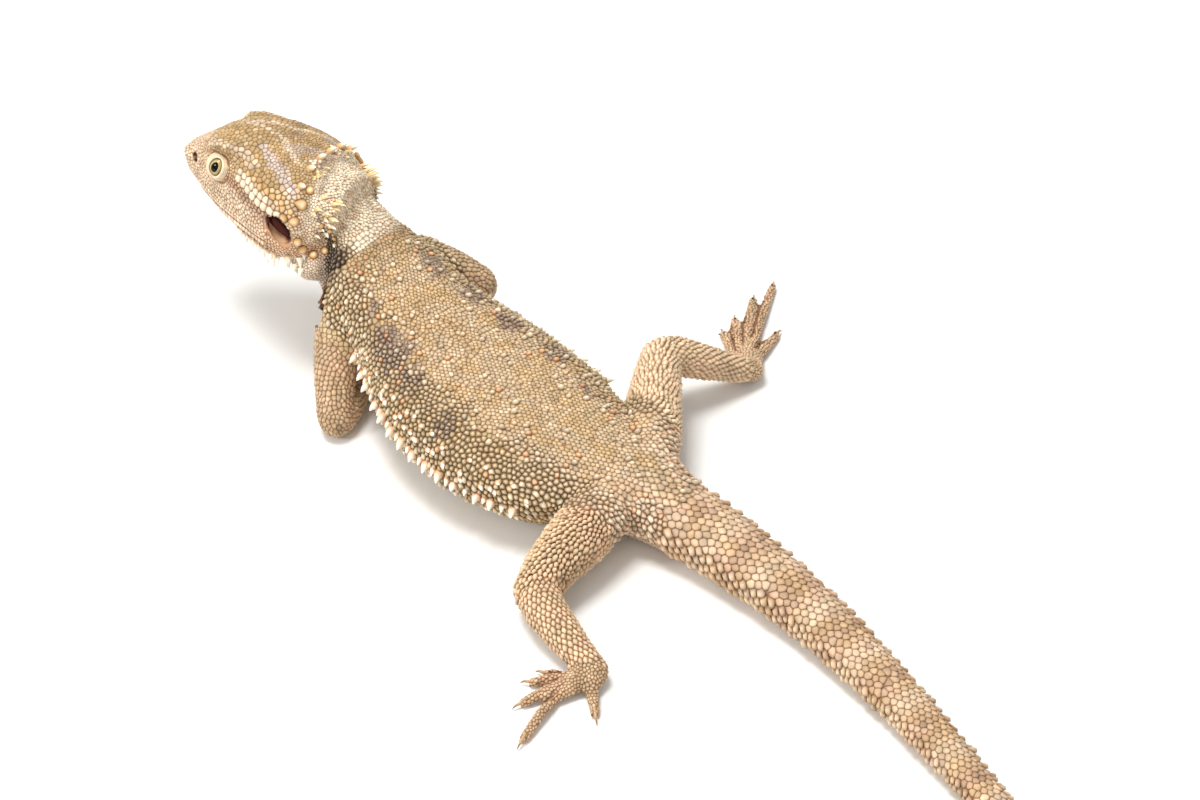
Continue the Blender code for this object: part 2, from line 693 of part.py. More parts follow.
def cutters():
    """Every cut in the flesh, one at a time because some of them cross."""
    meshes = [floor_block()] + body_cuts() + sockets()
    meshes.extend(slab(*cut) for cut in LIMB_CUTS.values())
    for _, digits in PAWS.values():
        meshes.extend(digit_trims(digits))
    return meshes


def loose_pieces(obj):
    """The separate bodies of a mesh, largest first, each an object of its own."""
    bm = bmesh.new()
    bm.from_mesh(obj.data)
    bmesh.ops.triangulate(bm, faces=bm.faces)
    unseen = set(bm.verts)
    pieces = []
    while unseen:
        group, edge_of_group = set(), [unseen.pop()]
        while edge_of_group:
            vert = edge_of_group.pop()
            group.add(vert)
            for link in vert.link_edges:
                other = link.other_vert(vert)
                if other in unseen:
                    unseen.discard(other)
                    edge_of_group.append(other)
        pieces.append(group)
    objects = []
    for group in sorted(pieces, key=len, reverse=True):
        piece = bmesh.new()
        ordered = sorted(group, key=lambda vert: vert.index)
        copies = {vert: piece.verts.new(vert.co) for vert in ordered}
        faces = sorted({face for vert in ordered for face in vert.link_faces},
                       key=lambda face: face.index)
        for face in faces:
            piece.faces.new([copies[vert] for vert in face.verts])
        mesh = bpy.data.meshes.new("piece")
        piece.to_mesh(mesh)
        piece.free()
        objects.append(new_object("piece", mesh))
    bm.free()
    return objects


def surface_of(obj):
    """The surface of an object, for finding where a line meets it."""
    bm = bmesh.new()
    bm.from_mesh(obj.data)
    surface = BVHTree.FromBMesh(bm)
    bm.free()
    return surface


def piece_middle(obj):
    corners = np.array([vert.co for vert in obj.data.vertices]) / MM
    return 0.5 * (corners.min(axis=0) + corners.max(axis=0))


def parted_flesh():
    """The flesh, cut and named: each piece takes the name whose place is nearest to it."""
    flesh = fused_flesh()
    for cut in cutters():
        combine(flesh, joined("cut", [cut]), "DIFFERENCE")
    pieces = loose_pieces(flesh)
    bpy.data.objects.remove(flesh)
    named = {}
    for piece in pieces[:len(PIECES)]:
        middle = piece_middle(piece)
        name = min((n for n in PIECES if n not in named),
                   key=lambda n: np.linalg.norm(middle - PIECES[n][0]))
        named[name] = piece
    for crumb in pieces[len(PIECES):]:
        bpy.data.objects.remove(crumb)
    return named


def build():
    for old in list(bpy.data.objects):
        bpy.data.objects.remove(old)
    named = parted_flesh()
    for name, grow in (("trunk", flank_spines), ("head", head_spines)):
        surface = surface_of(named[name])
        combine(named[name], joined("spines", grow(surface)), "UNION")
    for name, piece in named.items():
        finish_node(piece, name, "skin " + name.split("_")[0], PIECES[name][1])
    for side, word in ((1, "left"), (-1, "right")):
        eye = new_object("eye", ball("eye", eye_place(side), [EYE_RADIUS] * 3, HEAD_AXES, 12, 8))
        finish_node(eye, "eye_" + word, "eye", EYE_GOLD)
        drum = new_object("eardrum", ear_disc("eardrum", side, -EARDRUM_PLAY,
                                              EAR_DEPTH - EARDRUM_THICKNESS, EAR_DEPTH))
        finish_node(drum, "eardrum_" + word, "eardrum", EARDRUM_RED)
    for paw, (_, digits) in PAWS.items():
        for number, (base, tip) in enumerate(digits, start=1):
            claw = new_object("claw", claw_mesh(base, tip))
            finish_node(claw, f"claw_{paw}_{number}", "claw", CLAW_HORN)


build()
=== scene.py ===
"""Looks of a half-grown central bearded dragon, Pogona vitticeps, as a still museum model.

One skin stands for all the flesh of the frame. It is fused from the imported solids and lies
inside them by the depth of the scales. Scales, plates, tubercles and spines are solid mesh on
it: each grows from a root on the skin and fills the cell that its neighbours leave it, so that
they meet in fine grooves. Roots lie in rows round the trunk, the tail, the arms and the shanks,
in named rows on the face, and are strewn where no row reaches. Eyes and claws are pieces of
their own.

Lengths are in millimetres until a mesh is made. Places on the head are in head lengths
from the snout: back, to the animal's left, and up.
"""

import math

import bpy
import numpy as np
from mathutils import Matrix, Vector, noise
from mathutils.bvhtree import BVHTree
from mathutils.kdtree import KDTree


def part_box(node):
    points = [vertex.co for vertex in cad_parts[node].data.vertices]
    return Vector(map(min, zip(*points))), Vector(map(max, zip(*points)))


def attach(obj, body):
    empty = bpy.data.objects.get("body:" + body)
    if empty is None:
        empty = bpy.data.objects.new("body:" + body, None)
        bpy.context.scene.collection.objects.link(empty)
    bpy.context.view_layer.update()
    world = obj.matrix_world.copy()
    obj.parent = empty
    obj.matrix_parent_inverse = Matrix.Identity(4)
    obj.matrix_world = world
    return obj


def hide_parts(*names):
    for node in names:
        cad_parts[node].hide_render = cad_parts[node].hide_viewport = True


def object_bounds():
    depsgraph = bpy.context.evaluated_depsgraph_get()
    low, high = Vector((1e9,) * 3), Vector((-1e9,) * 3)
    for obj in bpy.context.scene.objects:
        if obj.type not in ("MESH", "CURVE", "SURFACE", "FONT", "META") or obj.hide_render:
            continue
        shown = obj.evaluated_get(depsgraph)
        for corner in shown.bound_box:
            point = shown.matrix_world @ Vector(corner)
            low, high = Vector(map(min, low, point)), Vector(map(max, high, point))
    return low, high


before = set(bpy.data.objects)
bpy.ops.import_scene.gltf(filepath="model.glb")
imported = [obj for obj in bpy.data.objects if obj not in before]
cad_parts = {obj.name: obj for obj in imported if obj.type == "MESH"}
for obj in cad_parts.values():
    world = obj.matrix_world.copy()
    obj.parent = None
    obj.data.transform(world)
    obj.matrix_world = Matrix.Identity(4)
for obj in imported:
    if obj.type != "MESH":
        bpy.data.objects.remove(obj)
solid_box = [list(corner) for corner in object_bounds()]

MM = 0.001
BODY = "root"
random = np.random.default_rng(20)

FLESH = [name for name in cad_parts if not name.startswith(("eye", "eardrum", "claw"))]
CLAWS = [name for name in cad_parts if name.startswith("claw")]
PAWS = [name for name in FLESH if name.startswith(("hand", "foot"))]


# ---------------------------------------------------------------- small helpers

def unit(vectors):
    """The vectors with a length of 1."""
    vectors = np.asarray(vectors, float)
    return vectors / np.maximum(np.linalg.norm(vectors, axis=-1, keepdims=True), 1e-9)


def ramp(values, start, end):
    """0 before start, 1 past end, and smooth between."""
    t = np.clip((np.asarray(values, float) - start) / (end - start), 0, 1)
    return t * t * (3 - 2 * t)


def bump(values, middle, width):
    """1 at the middle, falling to 0 a width or so away."""
    return np.exp(-((np.asarray(values, float) - middle) / width) ** 2)


def cloud(places, grain, shift=0.0):
    """Soft noise from 0 to 1 at each place; grain is the size of its patches."""
    scaled = np.asarray(places) / grain + shift
    return 0.5 + 0.5 * np.array([noise.noise(Vector(p)) for p in scaled.tolist()])


def mixed(first, second, share):
    """The first colour with a share of the second at each place."""
    return np.asarray(first) + (np.asarray(second) - first) * np.asarray(share)[:, None]


def layered(colour, *layers):
    """A colour with others laid over it in turn, each with its share at each place."""
    for other, share in layers:
        colour = mixed(colour, other, share)
    return colour


def tint(red, green, blue):
    """A colour in linear light from its usual 0 to 255 values."""
    values = np.array((red, green, blue)) / 255
    return np.where(values < 0.04045, values / 12.92, ((values + 0.055) / 1.055) ** 2.4)


def centre_of(name):
    """The middle of a CAD node's box."""
    low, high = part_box(name)
    return (np.array(low) + np.array(high)) / 2 / MM


def sided(start, side):
    """The name of a node or a piece on the left for 1, and on the right for -1."""
    return f"{start}_{'left' if side > 0 else 'right'}"


def full_turn(sides):
    """So many angles evenly round a circle."""
    return np.arange(sides) * 2 * math.pi / sides


def ring_corners(sides):
    """The corners of a ring, and the next corner after each."""
    return np.arange(sides), (np.arange(sides) + 1) % sides


def circle(turn, first, second):
    """Places round a circle that starts at one direction and turns to the other."""
    return np.cos(turn)[:, None] * first + np.sin(turn)[:, None] * second


def interpolated(wanted, along, places):
    """Places at the wanted distances along a row of places."""
    return np.array([np.interp(wanted, along, column) for column in places.T]).T


def distances_along(places):
    """The distance from the first place of a row to each."""
    return np.concatenate([[0], np.cumsum(np.linalg.norm(np.diff(places, axis=0), axis=1))])


def tree_of(places):
    """A tree that finds the nearest of the places."""
    tree = KDTree(len(places))
    for i, place in enumerate(places.tolist()):
        tree.insert(place, i)
    tree.balance()
    return tree


def places_of(mesh):
    """The mesh's vertices in millimetres."""
    places = np.empty(len(mesh.vertices) * 3)
    mesh.vertices.foreach_get("co", places)
    return places.reshape(-1, 3) / MM


def corners_of(mesh):
    """The number of the vertex at each corner of the mesh's faces."""
    corners = np.empty(len(mesh.loops), np.int32)
    mesh.loops.foreach_get("vertex_index", corners)
    return corners


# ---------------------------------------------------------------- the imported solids

def solid(name):
    """A CAD node's places and triangles, its split corners joined."""
    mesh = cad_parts[name].data
    places = places_of(mesh)
    mesh.calc_loop_triangles()
    corners = np.empty(len(mesh.loop_triangles) * 3, np.int32)
    mesh.loop_triangles.foreach_get("vertices", corners)
    _, first, joined = np.unique(np.round(places * 1e3).astype(np.int64), axis=0,
                                 return_index=True, return_inverse=True)
    return places[first], joined.reshape(-1)[corners].reshape(-1, 3)


def normals_of(places, faces):
    """Area-weighted normals at the vertices of triangles or quads."""
    corners = places[faces]
    across = corners[:, 2] - corners[:, 0]
    other = corners[:, -1] - corners[:, 1] if faces.shape[1] == 4 else corners[:, 1] - corners[:, 0]
    flat = np.cross(across, other) if faces.shape[1] == 4 else np.cross(other, across)
    total = np.zeros_like(places)
    for column in faces.T:
        for axis in range(3):
            total[:, axis] += np.bincount(column, flat[:, axis], len(places))
    return unit(total)


# A spine's tip is some corners this close together, with all their neighbours to one side
SPINE_TIP_SPREAD = 0.45
SPINE_TIP_CORNERS = 4
SPINE_TIP_ANGLE = math.radians(50)
SPINE_LEAST = 1.2


def fold_spines(places, triangles):
    """Flattens the thin spines on a solid; gives its places, and each spine's root and tip."""
    spines = []
    links = np.vstack([triangles[:, [0, 1]], triangles[:, [1, 2]], triangles[:, [2, 0]]])
    links = np.vstack([links, links[:, ::-1]])
    done = np.zeros(len(places), bool)
    flat = places.copy()
    for i, place in enumerate(places):
        near = np.flatnonzero(np.linalg.norm(places - place, axis=1) < SPINE_TIP_SPREAD)
        if done[i] or len(near) < SPINE_TIP_CORNERS:
            continue
        inside = np.isin(links, near)
        foot = places[np.unique(links[inside[:, 0] & ~inside[:, 1], 1])]
        middle = places[near].mean(axis=0)
        spread = unit(foot - middle) @ unit(foot.mean(axis=0) - middle)
        reach = np.linalg.norm(foot - middle, axis=1)
        if spread.min() < math.cos(SPINE_TIP_ANGLE) or reach.mean() < SPINE_LEAST:
            continue
        done[near] = True
        close = foot[reach < 1.25 * reach.min()]
        flat[near] = close.mean(axis=0)
        spines.append((close.mean(axis=0), middle))
    return flat, spines


def drawn_through(points, spacing=1.0):
    """A smooth line through the points, as places about a spacing apart."""
    points = np.array(points, float)
    ends = np.vstack([2 * points[0] - points[1], points, 2 * points[-1] - points[-2]])
    line = []
    for a, b, c, d in zip(ends, ends[1:], ends[2:], ends[3:]):
        steps = max(int(np.linalg.norm(c - b) / spacing), 1)
        for t in np.arange(steps) / steps:
            line.append(0.5 * (2 * b + (c - a) * t + (2 * a - 5 * b + 4 * c - d) * t ** 2
                               + (3 * b - a - 3 * c + d) * t ** 3))
    line.append(points[-1])
    return np.array(line)


# ---------------------------------------------------------------- the head's own frame

# Where the middles of the left eye and eardrum lie on the head
EYE_AT = (0.384, 0.222, 0.092)
EARDRUM_AT = (0.899, 0.385, -0.080)


def head_frame():
    """The snout, the head's length, and its axes back, left and up, from eyes and eardrums."""
    eye_left, eye_right = centre_of("eye_left"), centre_of("eye_right")
    left = unit(eye_left - eye_right)
    eyes = (eye_left + eye_right) / 2
    ears = (centre_of("eardrum_left") + centre_of("eardrum_right")) / 2
    back, up = EARDRUM_AT[0] - EYE_AT[0], EARDRUM_AT[2] - EYE_AT[2]
    length = np.linalg.norm(ears - eyes) / math.hypot(back, up)
    slope = math.atan2(up, back)
    along = unit(ears - eyes)
    over = np.cross(left, along)
    axes = np.array((along * math.cos(slope) - over * math.sin(slope), left,
                     along * math.sin(slope) + over * math.cos(slope)))
    return eyes - length * (EYE_AT[0] * axes[0] + EYE_AT[2] * axes[2]), length, axes


SNOUT, HEAD_LENGTH, HEAD = head_frame()


def head_place(back, left, up):
    """The place in millimetres of a place on the head."""
    return SNOUT + HEAD_LENGTH * (np.stack(np.broadcast_arrays(back, left, up), -1) @ HEAD)


def in_head(places):
    """Places on the head from places in millimetres."""
    return (np.asarray(places) - SNOUT) @ HEAD.T / HEAD_LENGTH


# ---------------------------------------------------------------- the skin

# The size of the small quads, and how far the solids are blown up so that they join
VOXEL = 0.46
INFLATION = 0.22
# Rounds of smoothing, its share on the paws, and its two steps
SMOOTHING = 14
PAW_SMOOTHING = 0.25
SHRINK, GROW = 0.5, -0.52


class Surface:
    """A closed mesh with smooth normals, for casting lines and for the nearest place."""

    def __init__(self, places, faces):
        self.places, self.faces = places, faces
        self.normals = normals_of(places, faces)
        self.tree = BVHTree.FromPolygons(places.tolist(), faces.tolist())

    def nearest(self, points):
        """The nearest place on the surface to each point, and the normal there."""
        found = [self.tree.find_nearest(Vector(p)) for p in np.asarray(points).tolist()]
        where = np.array([hit[0] for hit in found])
        corners = self.faces[[hit[2] for hit in found]]
        reach = np.linalg.norm(self.places[corners] - where[:, None], axis=2)
        weight = 1 / (reach + 0.05)
        normal = unit((self.normals[corners] * weight[..., None]).sum(axis=1))
        return where, normal

    def exit(self, start, direction):
        """How far a line from inside runs before it leaves the surface, or None."""
        return self.tree.ray_cast(Vector(start), Vector(direction))[3]


def edges_of(faces):
    """The edges of the faces, as two columns of vertices."""
    sides = faces.shape[1]
    return np.vstack([faces[:, [i, (i + 1) % sides]] for i in range(sides)])


def mean_of_neighbours(values, ends):
    """The mean of the values at the far ends of each vertex's edges."""
    degree = np.bincount(ends.ravel(), minlength=len(values))
    total = np.stack([np.bincount(ends[:, 0], column[ends[:, 1]], len(values))
                      + np.bincount(ends[:, 1], column[ends[:, 0]], len(values))
                      for column in values.T], axis=1)
    return total / degree[:, None]


def smoothed(places, faces, rounds, strength):
    """Evens out the surface without shrinking it."""
    ends = edges_of(faces)
    for factor in (SHRINK, GROW) * rounds:
        places = places + factor * strength[:, None] * (mean_of_neighbours(places, ends) - places)
    return places


def mesh_of(name, places, faces):
    """A mesh in metres from places in millimetres and faces with equal numbers of corners."""
    mesh = bpy.data.meshes.new(name)
    sides = faces.shape[1]
    mesh.vertices.add(len(places))
    mesh.vertices.foreach_set("co", (places * MM).astype(np.float32).ravel())
    mesh.loops.add(faces.size)
    mesh.loops.foreach_set("vertex_index", faces.astype(np.int32).ravel())
    mesh.polygons.add(len(faces))
    mesh.polygons.foreach_set("loop_start", np.arange(0, faces.size, sides, dtype=np.int32))
    mesh.update(calc_edges=True)
    mesh.validate()
    return mesh


def new_object(name, mesh):
    """An object in the scene with this mesh."""
    obj = bpy.data.objects.new(name, mesh)
    bpy.context.scene.collection.objects.link(obj)
    return obj


def joined(meshes):
    """The places and faces of several meshes as one."""
    starts = np.cumsum([0] + [len(places) for places, _ in meshes])
    return (np.vstack([places for places, _ in meshes]),
            np.vstack([faces + start for (_, faces), start in zip(meshes, starts)]))


def evaluated(obj):
    """An object's mesh with its modifiers carried out."""
    return bpy.data.meshes.new_from_object(
        obj.evaluated_get(bpy.context.evaluated_depsgraph_get()))


def fused_flesh():
    """The flesh solids as one surface of small quads, and the spines that stood on them."""
    meshes, spines = [], []
    for name in FLESH:
        corners, triangles = solid(name)
        if name in ("trunk", "head"):
            corners, found = fold_spines(corners, triangles)
            spines.extend((name, root, tip) for root, tip in found)
        meshes.append((corners + normals_of(corners, triangles) * INFLATION, triangles))
    rough = new_object("rough", mesh_of("rough", *joined(meshes)))
    remesh = rough.modifiers.new("fuse", "REMESH")
    remesh.mode = "VOXEL"
    remesh.voxel_size = VOXEL * MM
    mesh = evaluated(rough)
    bpy.data.objects.remove(rough)
    places, faces = places_of(mesh), corners_of(mesh).reshape(-1, 4)
    bpy.data.meshes.remove(mesh)
    return places, faces, spines


class Parts:
    """Which piece of flesh each place belongs to."""

    def __init__(self):
        meshes = [solid(name) for name in FLESH]
        self.owners = np.repeat(np.arange(len(FLESH)), [len(faces) for _, faces in meshes])
        places, faces = joined(meshes)
        self.tree = BVHTree.FromPolygons(places.tolist(), faces.tolist())

    def of(self, points):
        """The number of the flesh node nearest to each place."""
        return self.owners[[self.tree.find_nearest(Vector(p))[2]
                            for p in np.asarray(points).tolist()]]


def within(own, *starts):
    """Which places belong to the flesh nodes whose names start so."""
    return np.isin(own, [i for i, name in enumerate(FLESH) if name.startswith(starts)])


# ---------------------------------------------------------------- skin as a scene piece

SKIN_TRIANGLES = 185000
DEPTHS = {"head": 0.35, "jaw": 0.30, "neck": 0.40, "trunk": 0.45, "tail": 0.40, "upper_arm": 0.35,
          "forearm": 0.30, "hand": 0.16, "thigh": 0.40, "shank": 0.35, "foot": 0.16}


def coat_depth(name):
    """How deep the scales are on a piece of flesh."""
    return next(depth for start, depth in DEPTHS.items() if name.startswith(start))


def spread_out(values, faces, rounds):
    """Lets values at the vertices run into each other, so that no step shows."""
    ends = edges_of(faces)
    flat = values.reshape(len(values), -1)
    for _ in range(rounds):
        flat = mean_of_neighbours(flat, ends)
    return flat.reshape(values.shape)


# Folds, dips and openings of the head and neck, as lines of places on the head
NAPE_FOLD = ((0.985, 0.15, 0.24), (1.00, 0.09, 0.255), (1.03, 0.0, 0.25), (1.05, -0.09, 0.23),
             (1.03, -0.30, 0.14))
SIDE_FOLD = ((1.00, 0.12, 0.24), (1.055, 0.15, 0.20), (1.08, 0.22, 0.14), (1.10, 0.29, 0.06))
NAPE_DIP = ((1.10, 0.22, 0.12), (1.09, 0.12, 0.19), (1.10, 0.0, 0.20), (1.12, -0.10, 0.18),
            (1.10, -0.30, 0.10))
LOBE_FOLD = ((1.17, 0.30, -0.14), (1.20, 0.31, -0.28), (1.18, 0.30, -0.42))
MOUTH_FOLD = ((0.10, 0.11, -0.100), (0.30, 0.22, -0.150), (0.46, 0.285, -0.175),
              (0.60, 0.344, -0.189), (0.756, 0.394, -0.206), (0.80, 0.403, -0.212))
BROW_FOLD = ((0.28, 0.20, 0.225), (0.37, 0.241, 0.268), (0.50, 0.256, 0.272), (0.58, 0.262, 0.245),
             (0.65, 0.291, 0.212))
NOSTRIL_DIP = ((0.138, 0.145, 0.052), (0.152, 0.149, 0.024))
EAR_HOLLOW = ((0.845, 0.41, -0.052), (0.90, 0.40, -0.092), (0.955, 0.405, -0.130))
EAR_SLOPE = ((0.845, 0.415, -0.095), (0.89, 0.41, -0.130), (0.955, 0.405, -0.165))
# Each with its width and height in millimetres, and whether it is on both sides
FOLDS = ((NAPE_FOLD, 1.0, 0.9, False), (SIDE_FOLD, 1.1, 0.6, True), (NAPE_DIP, 1.6, -0.7, False),
         (LOBE_FOLD, 1.7, -1.4, True), (MOUTH_FOLD, 0.6, -0.35, True), (BROW_FOLD, 1.1, 0.30, True),
         (EAR_HOLLOW, 1.6, -0.6, True), (EAR_SLOPE, 1.3, -0.4, True), (NOSTRIL_DIP, 0.55, -0.9, True))
FOLD_SPACING = 0.015
FOLD_REGION = 40
FAR = 99.0


def folded(places, normals):
    """Raises and sinks the skin along its folds."""
    for line, width, height, both in FOLDS:
        for side in (1, -1)[:2 if both else 1]:
            curve = head_place(*(drawn_through(line, FOLD_SPACING) * (1, side, 1)).T)
            curve = places[[np.argmin(((places - point) ** 2).sum(axis=1)) for point in curve]]
            tree = tree_of(curve)
            near = np.linalg.norm(places - curve.mean(axis=0), axis=1) < FOLD_REGION
            away = np.full(len(places), FAR)
            away[near] = [tree.find(place)[2] for place in places[near].tolist()]
            places = places + normals * (height * np.exp(-(away / width) ** 2))[:, None]
    return places


# The gaps between the toes: width, depth, and where they start in shares of the toes' reach
TOE_GAP = 0.5
TOE_GAP_DEPTH = 1.3
TOE_GAP_FROM, TOE_GAP_FULL = 0.38, 0.55


def toe_gaps(places, own):
    """1 along the gaps between neighbouring toes, seen from above, falling to 0 beside them."""
    share = np.zeros(len(places))
    for name in PAWS:
        here = np.flatnonzero(own == FLESH.index(name))
        claws = [centre_of(claw)[:2] for claw in CLAWS if name in claw]
        lower = name.replace("hand", "forearm").replace("foot", "shank")
        wrist = joint(lower, name)[:2]
        for one, other in zip(claws, claws[1:]):
            reach = min(np.linalg.norm(one - wrist), np.linalg.norm(other - wrist))
            way = unit(unit(one - wrist) + unit(other - wrist))
            out = places[here, :2] - wrist
            along = out @ way
            beside = np.abs(out @ np.array((-way[1], way[0])))
            line = bump(beside, 0.0, TOE_GAP) * ramp(along, TOE_GAP_FROM * reach, TOE_GAP_FULL * reach)
            share[here] = np.maximum(share[here], line)
    return share


def make_surface(parts):
    """The skin's surface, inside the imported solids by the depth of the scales."""
    places, faces, spines = fused_flesh()
    owner = parts.of(places)
    slender = within(owner, "hand", "foot")
    strength = spread_out(np.where(slender, PAW_SMOOTHING, 1.0), faces, 8)
    places = smoothed(places, faces, SMOOTHING, strength)
    normals = normals_of(places, faces)
    places = folded(places, normals)
    sunk = toe_gaps(places, owner) * ramp(normals[:, 2], 0.0, 0.4)
    places = places - normals * sunk[:, None] * TOE_GAP_DEPTH
    depth = np.array([coat_depth(name) for name in FLESH])[owner]
    depth = spread_out(depth, faces, 10) + INFLATION
    places = places - normals_of(places, faces) * depth[:, None]
    return Surface(places, faces), spines


def skin_piece():
    """The surface with fewer triangles, as the piece that stands for the flesh."""
    piece = new_object("skin", mesh_of("skin", surface.places, surface.faces))
    piece.modifiers.new("cut", "TRIANGULATE")
    thin = piece.modifiers.new("thin", "DECIMATE")
    thin.ratio = SKIN_TRIANGLES / (2 * len(surface.faces))
    mesh = evaluated(piece)
    piece.modifiers.clear()
    piece.data = mesh
    mesh.shade_smooth()
    return piece


# ---------------------------------------------------------------- lines down the middle of the parts

# How near the next solid the corners of a cut lie, half the thickness of a slice of skin, and
# half the length over which a line's direction is taken
JOINT_REACH = 0.8
SLICE = 1.5
AHEAD = 1.5


def joint(first, second):
    """The middle of the cut where two pieces of flesh meet."""
    tree = tree_of(solid(second)[0])
    places = solid(first)[0]
    near = np.array([tree.find(place)[2] for place in places]) < JOINT_REACH
    return (places[near].min(axis=0) + places[near].max(axis=0)) / 2


def middle_between(start, end, places):
    """The middle of a part half-way between two places, from the skin about there."""
    along = unit(end - start)
    away = (places - (start + end) / 2) @ along
    there = places[np.abs(away) < SLICE]
    return (there.min(axis=0) + there.max(axis=0)) / 2


class Line:
    """A line with the distance along it, its direction, and the direction up from it."""

    def __init__(self, points, up=(0, 0, 1)):
        self.points = drawn_through(points)
        self.along = distances_along(self.points)
        self.length = self.along[-1]
        self.up = np.array(up, float)
        self.tree = tree_of(self.points)

    def at(self, distance):
        """The place so far along the line."""
        return interpolated(distance, self.along, self.points)

    def direction(self, distance):
        """The way the line runs there."""
        return unit(self.at(distance + AHEAD) - self.at(distance - AHEAD))

    def frame(self, distance):
        """Direction, left and up of the line there."""
        ahead = self.direction(distance)
        left = unit(np.cross(ahead, self.up))
        return ahead, left, np.cross(left, ahead)

    def round_about(self, places):
        """Distance along the line and angle round it, left of up, for each place."""
        nearest = np.array([self.tree.find(p)[1] for p in np.asarray(places).tolist()])
        frames = np.array([self.frame(distance) for distance in self.along])[nearest]
        out = places - self.points[nearest]
        along = self.along[nearest] + np.einsum("ij,ij->i", out, frames[:, 0])
        angle = np.arctan2(np.einsum("ij,ij->i", out, frames[:, 1]),
                           np.einsum("ij,ij->i", out, frames[:, 2]))
        return along, angle


TAIL = tuple(f"tail_{i}" for i in range(1, 6))


def body_line():
    """From the back of the head along the back and the tail to its tip."""
    trunk = surface.places[within(owner, "trunk")]
    neck, hips = joint("neck", "trunk"), joint("trunk", "tail_1")
    points = [joint("head", "neck"), neck]
    for share in (0.25, 0.5, 0.75):
        level = neck + (hips - neck) * share
        slab = trunk[np.abs(trunk[:, 1] - level[1]) < 1]
        low, high = slab.min(axis=0), slab.max(axis=0)
        points.append(np.array((level[0] * 0.5 + (low[0] + high[0]) * 0.25, level[1],
                                low[2] * 0.55 + high[2] * 0.45)))
    points.append(hips)
    points += [joint(first, second) for first, second in zip(TAIL, TAIL[1:])]
    last = solid(TAIL[-1])[0]
    points.append(last[np.argmax(np.linalg.norm(last - points[-1], axis=1))])
    return Line(points)


def limb_line(upper, lower, paw):
    """From the trunk through elbow or knee to the paw."""
    root, bend, end = joint(upper, "trunk"), joint(upper, lower), joint(lower, paw)
    skin_of = [surface.places[within(owner, name)] for name in (upper, lower)]
    return Line([root, middle_between(root, bend, skin_of[0]), bend,
                 middle_between(bend, end, skin_of[1]), end])


# ---------------------------------------------------------------- kinds of scale

class Kind:
    """The form of one kind of scale, in shares of its size, and its colour if it has its own.

    crown: height in the middle; tilt: rise towards the rear; keel: height of the ridge;
    point: how far the rear end runs out; groove: width of the gap; flat: share that is flat;
    edge: how much of the scale's own colour reaches its rim, the rest being the groove colour as
    painted shade; and last, how far a painted highlight pales the top.
    """

    def __init__(self, crown, tilt=0.0, keel=0.0, point=0.0, groove=0.07, flat=0.7, edge=0.6,
                 colour=None, dye=0.6, top_highlight=0.0):
        self.form = (crown, tilt, keel, point, groove, flat, edge, top_highlight)
        self.colour = colour
        self.dye = dye


CREAM = tint(250, 234, 206)
AMBER = tint(222, 166, 84)
ORANGE = tint(226, 150, 92)
LIP = tint(246, 220, 192)
RUST = tint(200, 146, 106)

KINDS = {
    "gap": Kind(0),
    "back": Kind(0.06, 0.17, 0.14, 0.45, 0.06, 0.55, 0.68),
    "nape": Kind(0.10, 0.36, 0.14, 0.90, 0.07, 0.45, 0.55, top_highlight=0.3),
    "flank": Kind(0.34, 0.30, 0.08, 0.35, 0.12, 0.32, 0.36, top_highlight=0.4),
    "belly": Kind(0.06, 0.10, 0.03, 0.10, 0.08, 0.72, 0.55),
    "tail": Kind(0.05, 0.16, 0.12, 0.35, 0.05, 0.72, 0.64),
    "edge": Kind(0.10, 0.50, 0.18, 0.85, 0.06, 0.42, 0.55, top_highlight=0.4),
    "leg": Kind(0.05, 0.26, 0.16, 0.80, 0.06, 0.48, 0.36, top_highlight=0.5),
    "shaggy": Kind(0.06, 0.60, 0.20, 1.30, 0.08, 0.38, 0.40, top_highlight=0.8),
    "arm": Kind(0.05, 0.16, 0.12, 0.40, 0.06, 0.62, 0.44, top_highlight=0.2),
    "bead": Kind(0.18, 0.12, 0.04, 0.12, 0.06, 0.55, 0.50, top_highlight=0.3),
    "plate": Kind(0.12, 0.08, 0.02, 0.04, 0.06, 0.70, 0.56),
    "face": Kind(0.15, 0.08, 0.0, 0.03, 0.07, 0.62, 0.44, top_highlight=0.35),
    "lip": Kind(0.16, 0.02, 0.0, 0.0, 0.06, 0.70, 0.58, LIP),
    "cream": Kind(0.22, 0.06, 0.0, 0.0, 0.06, 0.66, 0.58, CREAM, 0.70, 0.3),
    "golden": Kind(0.22, 0.06, 0.0, 0.0, 0.06, 0.66, 0.58, AMBER, 0.6, 0.3),
    "amber": Kind(0.46, 0.06, 0.0, 0.0, 0.05, 0.58, 0.55, AMBER, 0.85, 0.75),
    "wart": Kind(0.30, 0.46, 0.16, 0.55, 0.08, 0.38, 0.45, CREAM, 0.40, 0.4),
    "rusty": Kind(0.26, 0.30, 0.12, 0.16, 0.08, 0.48, 0.5, ORANGE, 0.6, 0.4),
}
KIND_NAMES = list(KINDS)


class Roots:
    """Where scales stand: place, size, the way they lie, and their kind."""

    def __init__(self):
        self.places, self.sizes, self.lies, self.kinds = [], [], [], []

    def add(self, places, sizes, lies, kind):
        """More roots, with one size, way to lie and kind, or one for each."""
        places = np.asarray(places, float).reshape(-1, 3)
        count = len(places)
        kinds = [KIND_NAMES.index(kind)] * count if isinstance(kind, str) else kind
        self.places.append(places)
        self.sizes.append(np.broadcast_to(sizes, count))
        self.lies.append(np.broadcast_to(lies, (count, 3)))
        self.kinds.append(np.array(kinds, int))

    def joined(self):
        """All the roots' places, sizes, ways to lie and kinds."""
        return (np.vstack(self.places), np.concatenate(self.sizes), np.vstack(self.lies),
                np.concatenate(self.kinds))


# ---------------------------------------------------------------- rows round trunk, tail and limbs

RAYS = 96
FLANK_FROM, FLANK_TO, BELLY_FROM = (math.radians(a) for a in (52, 92, 118))
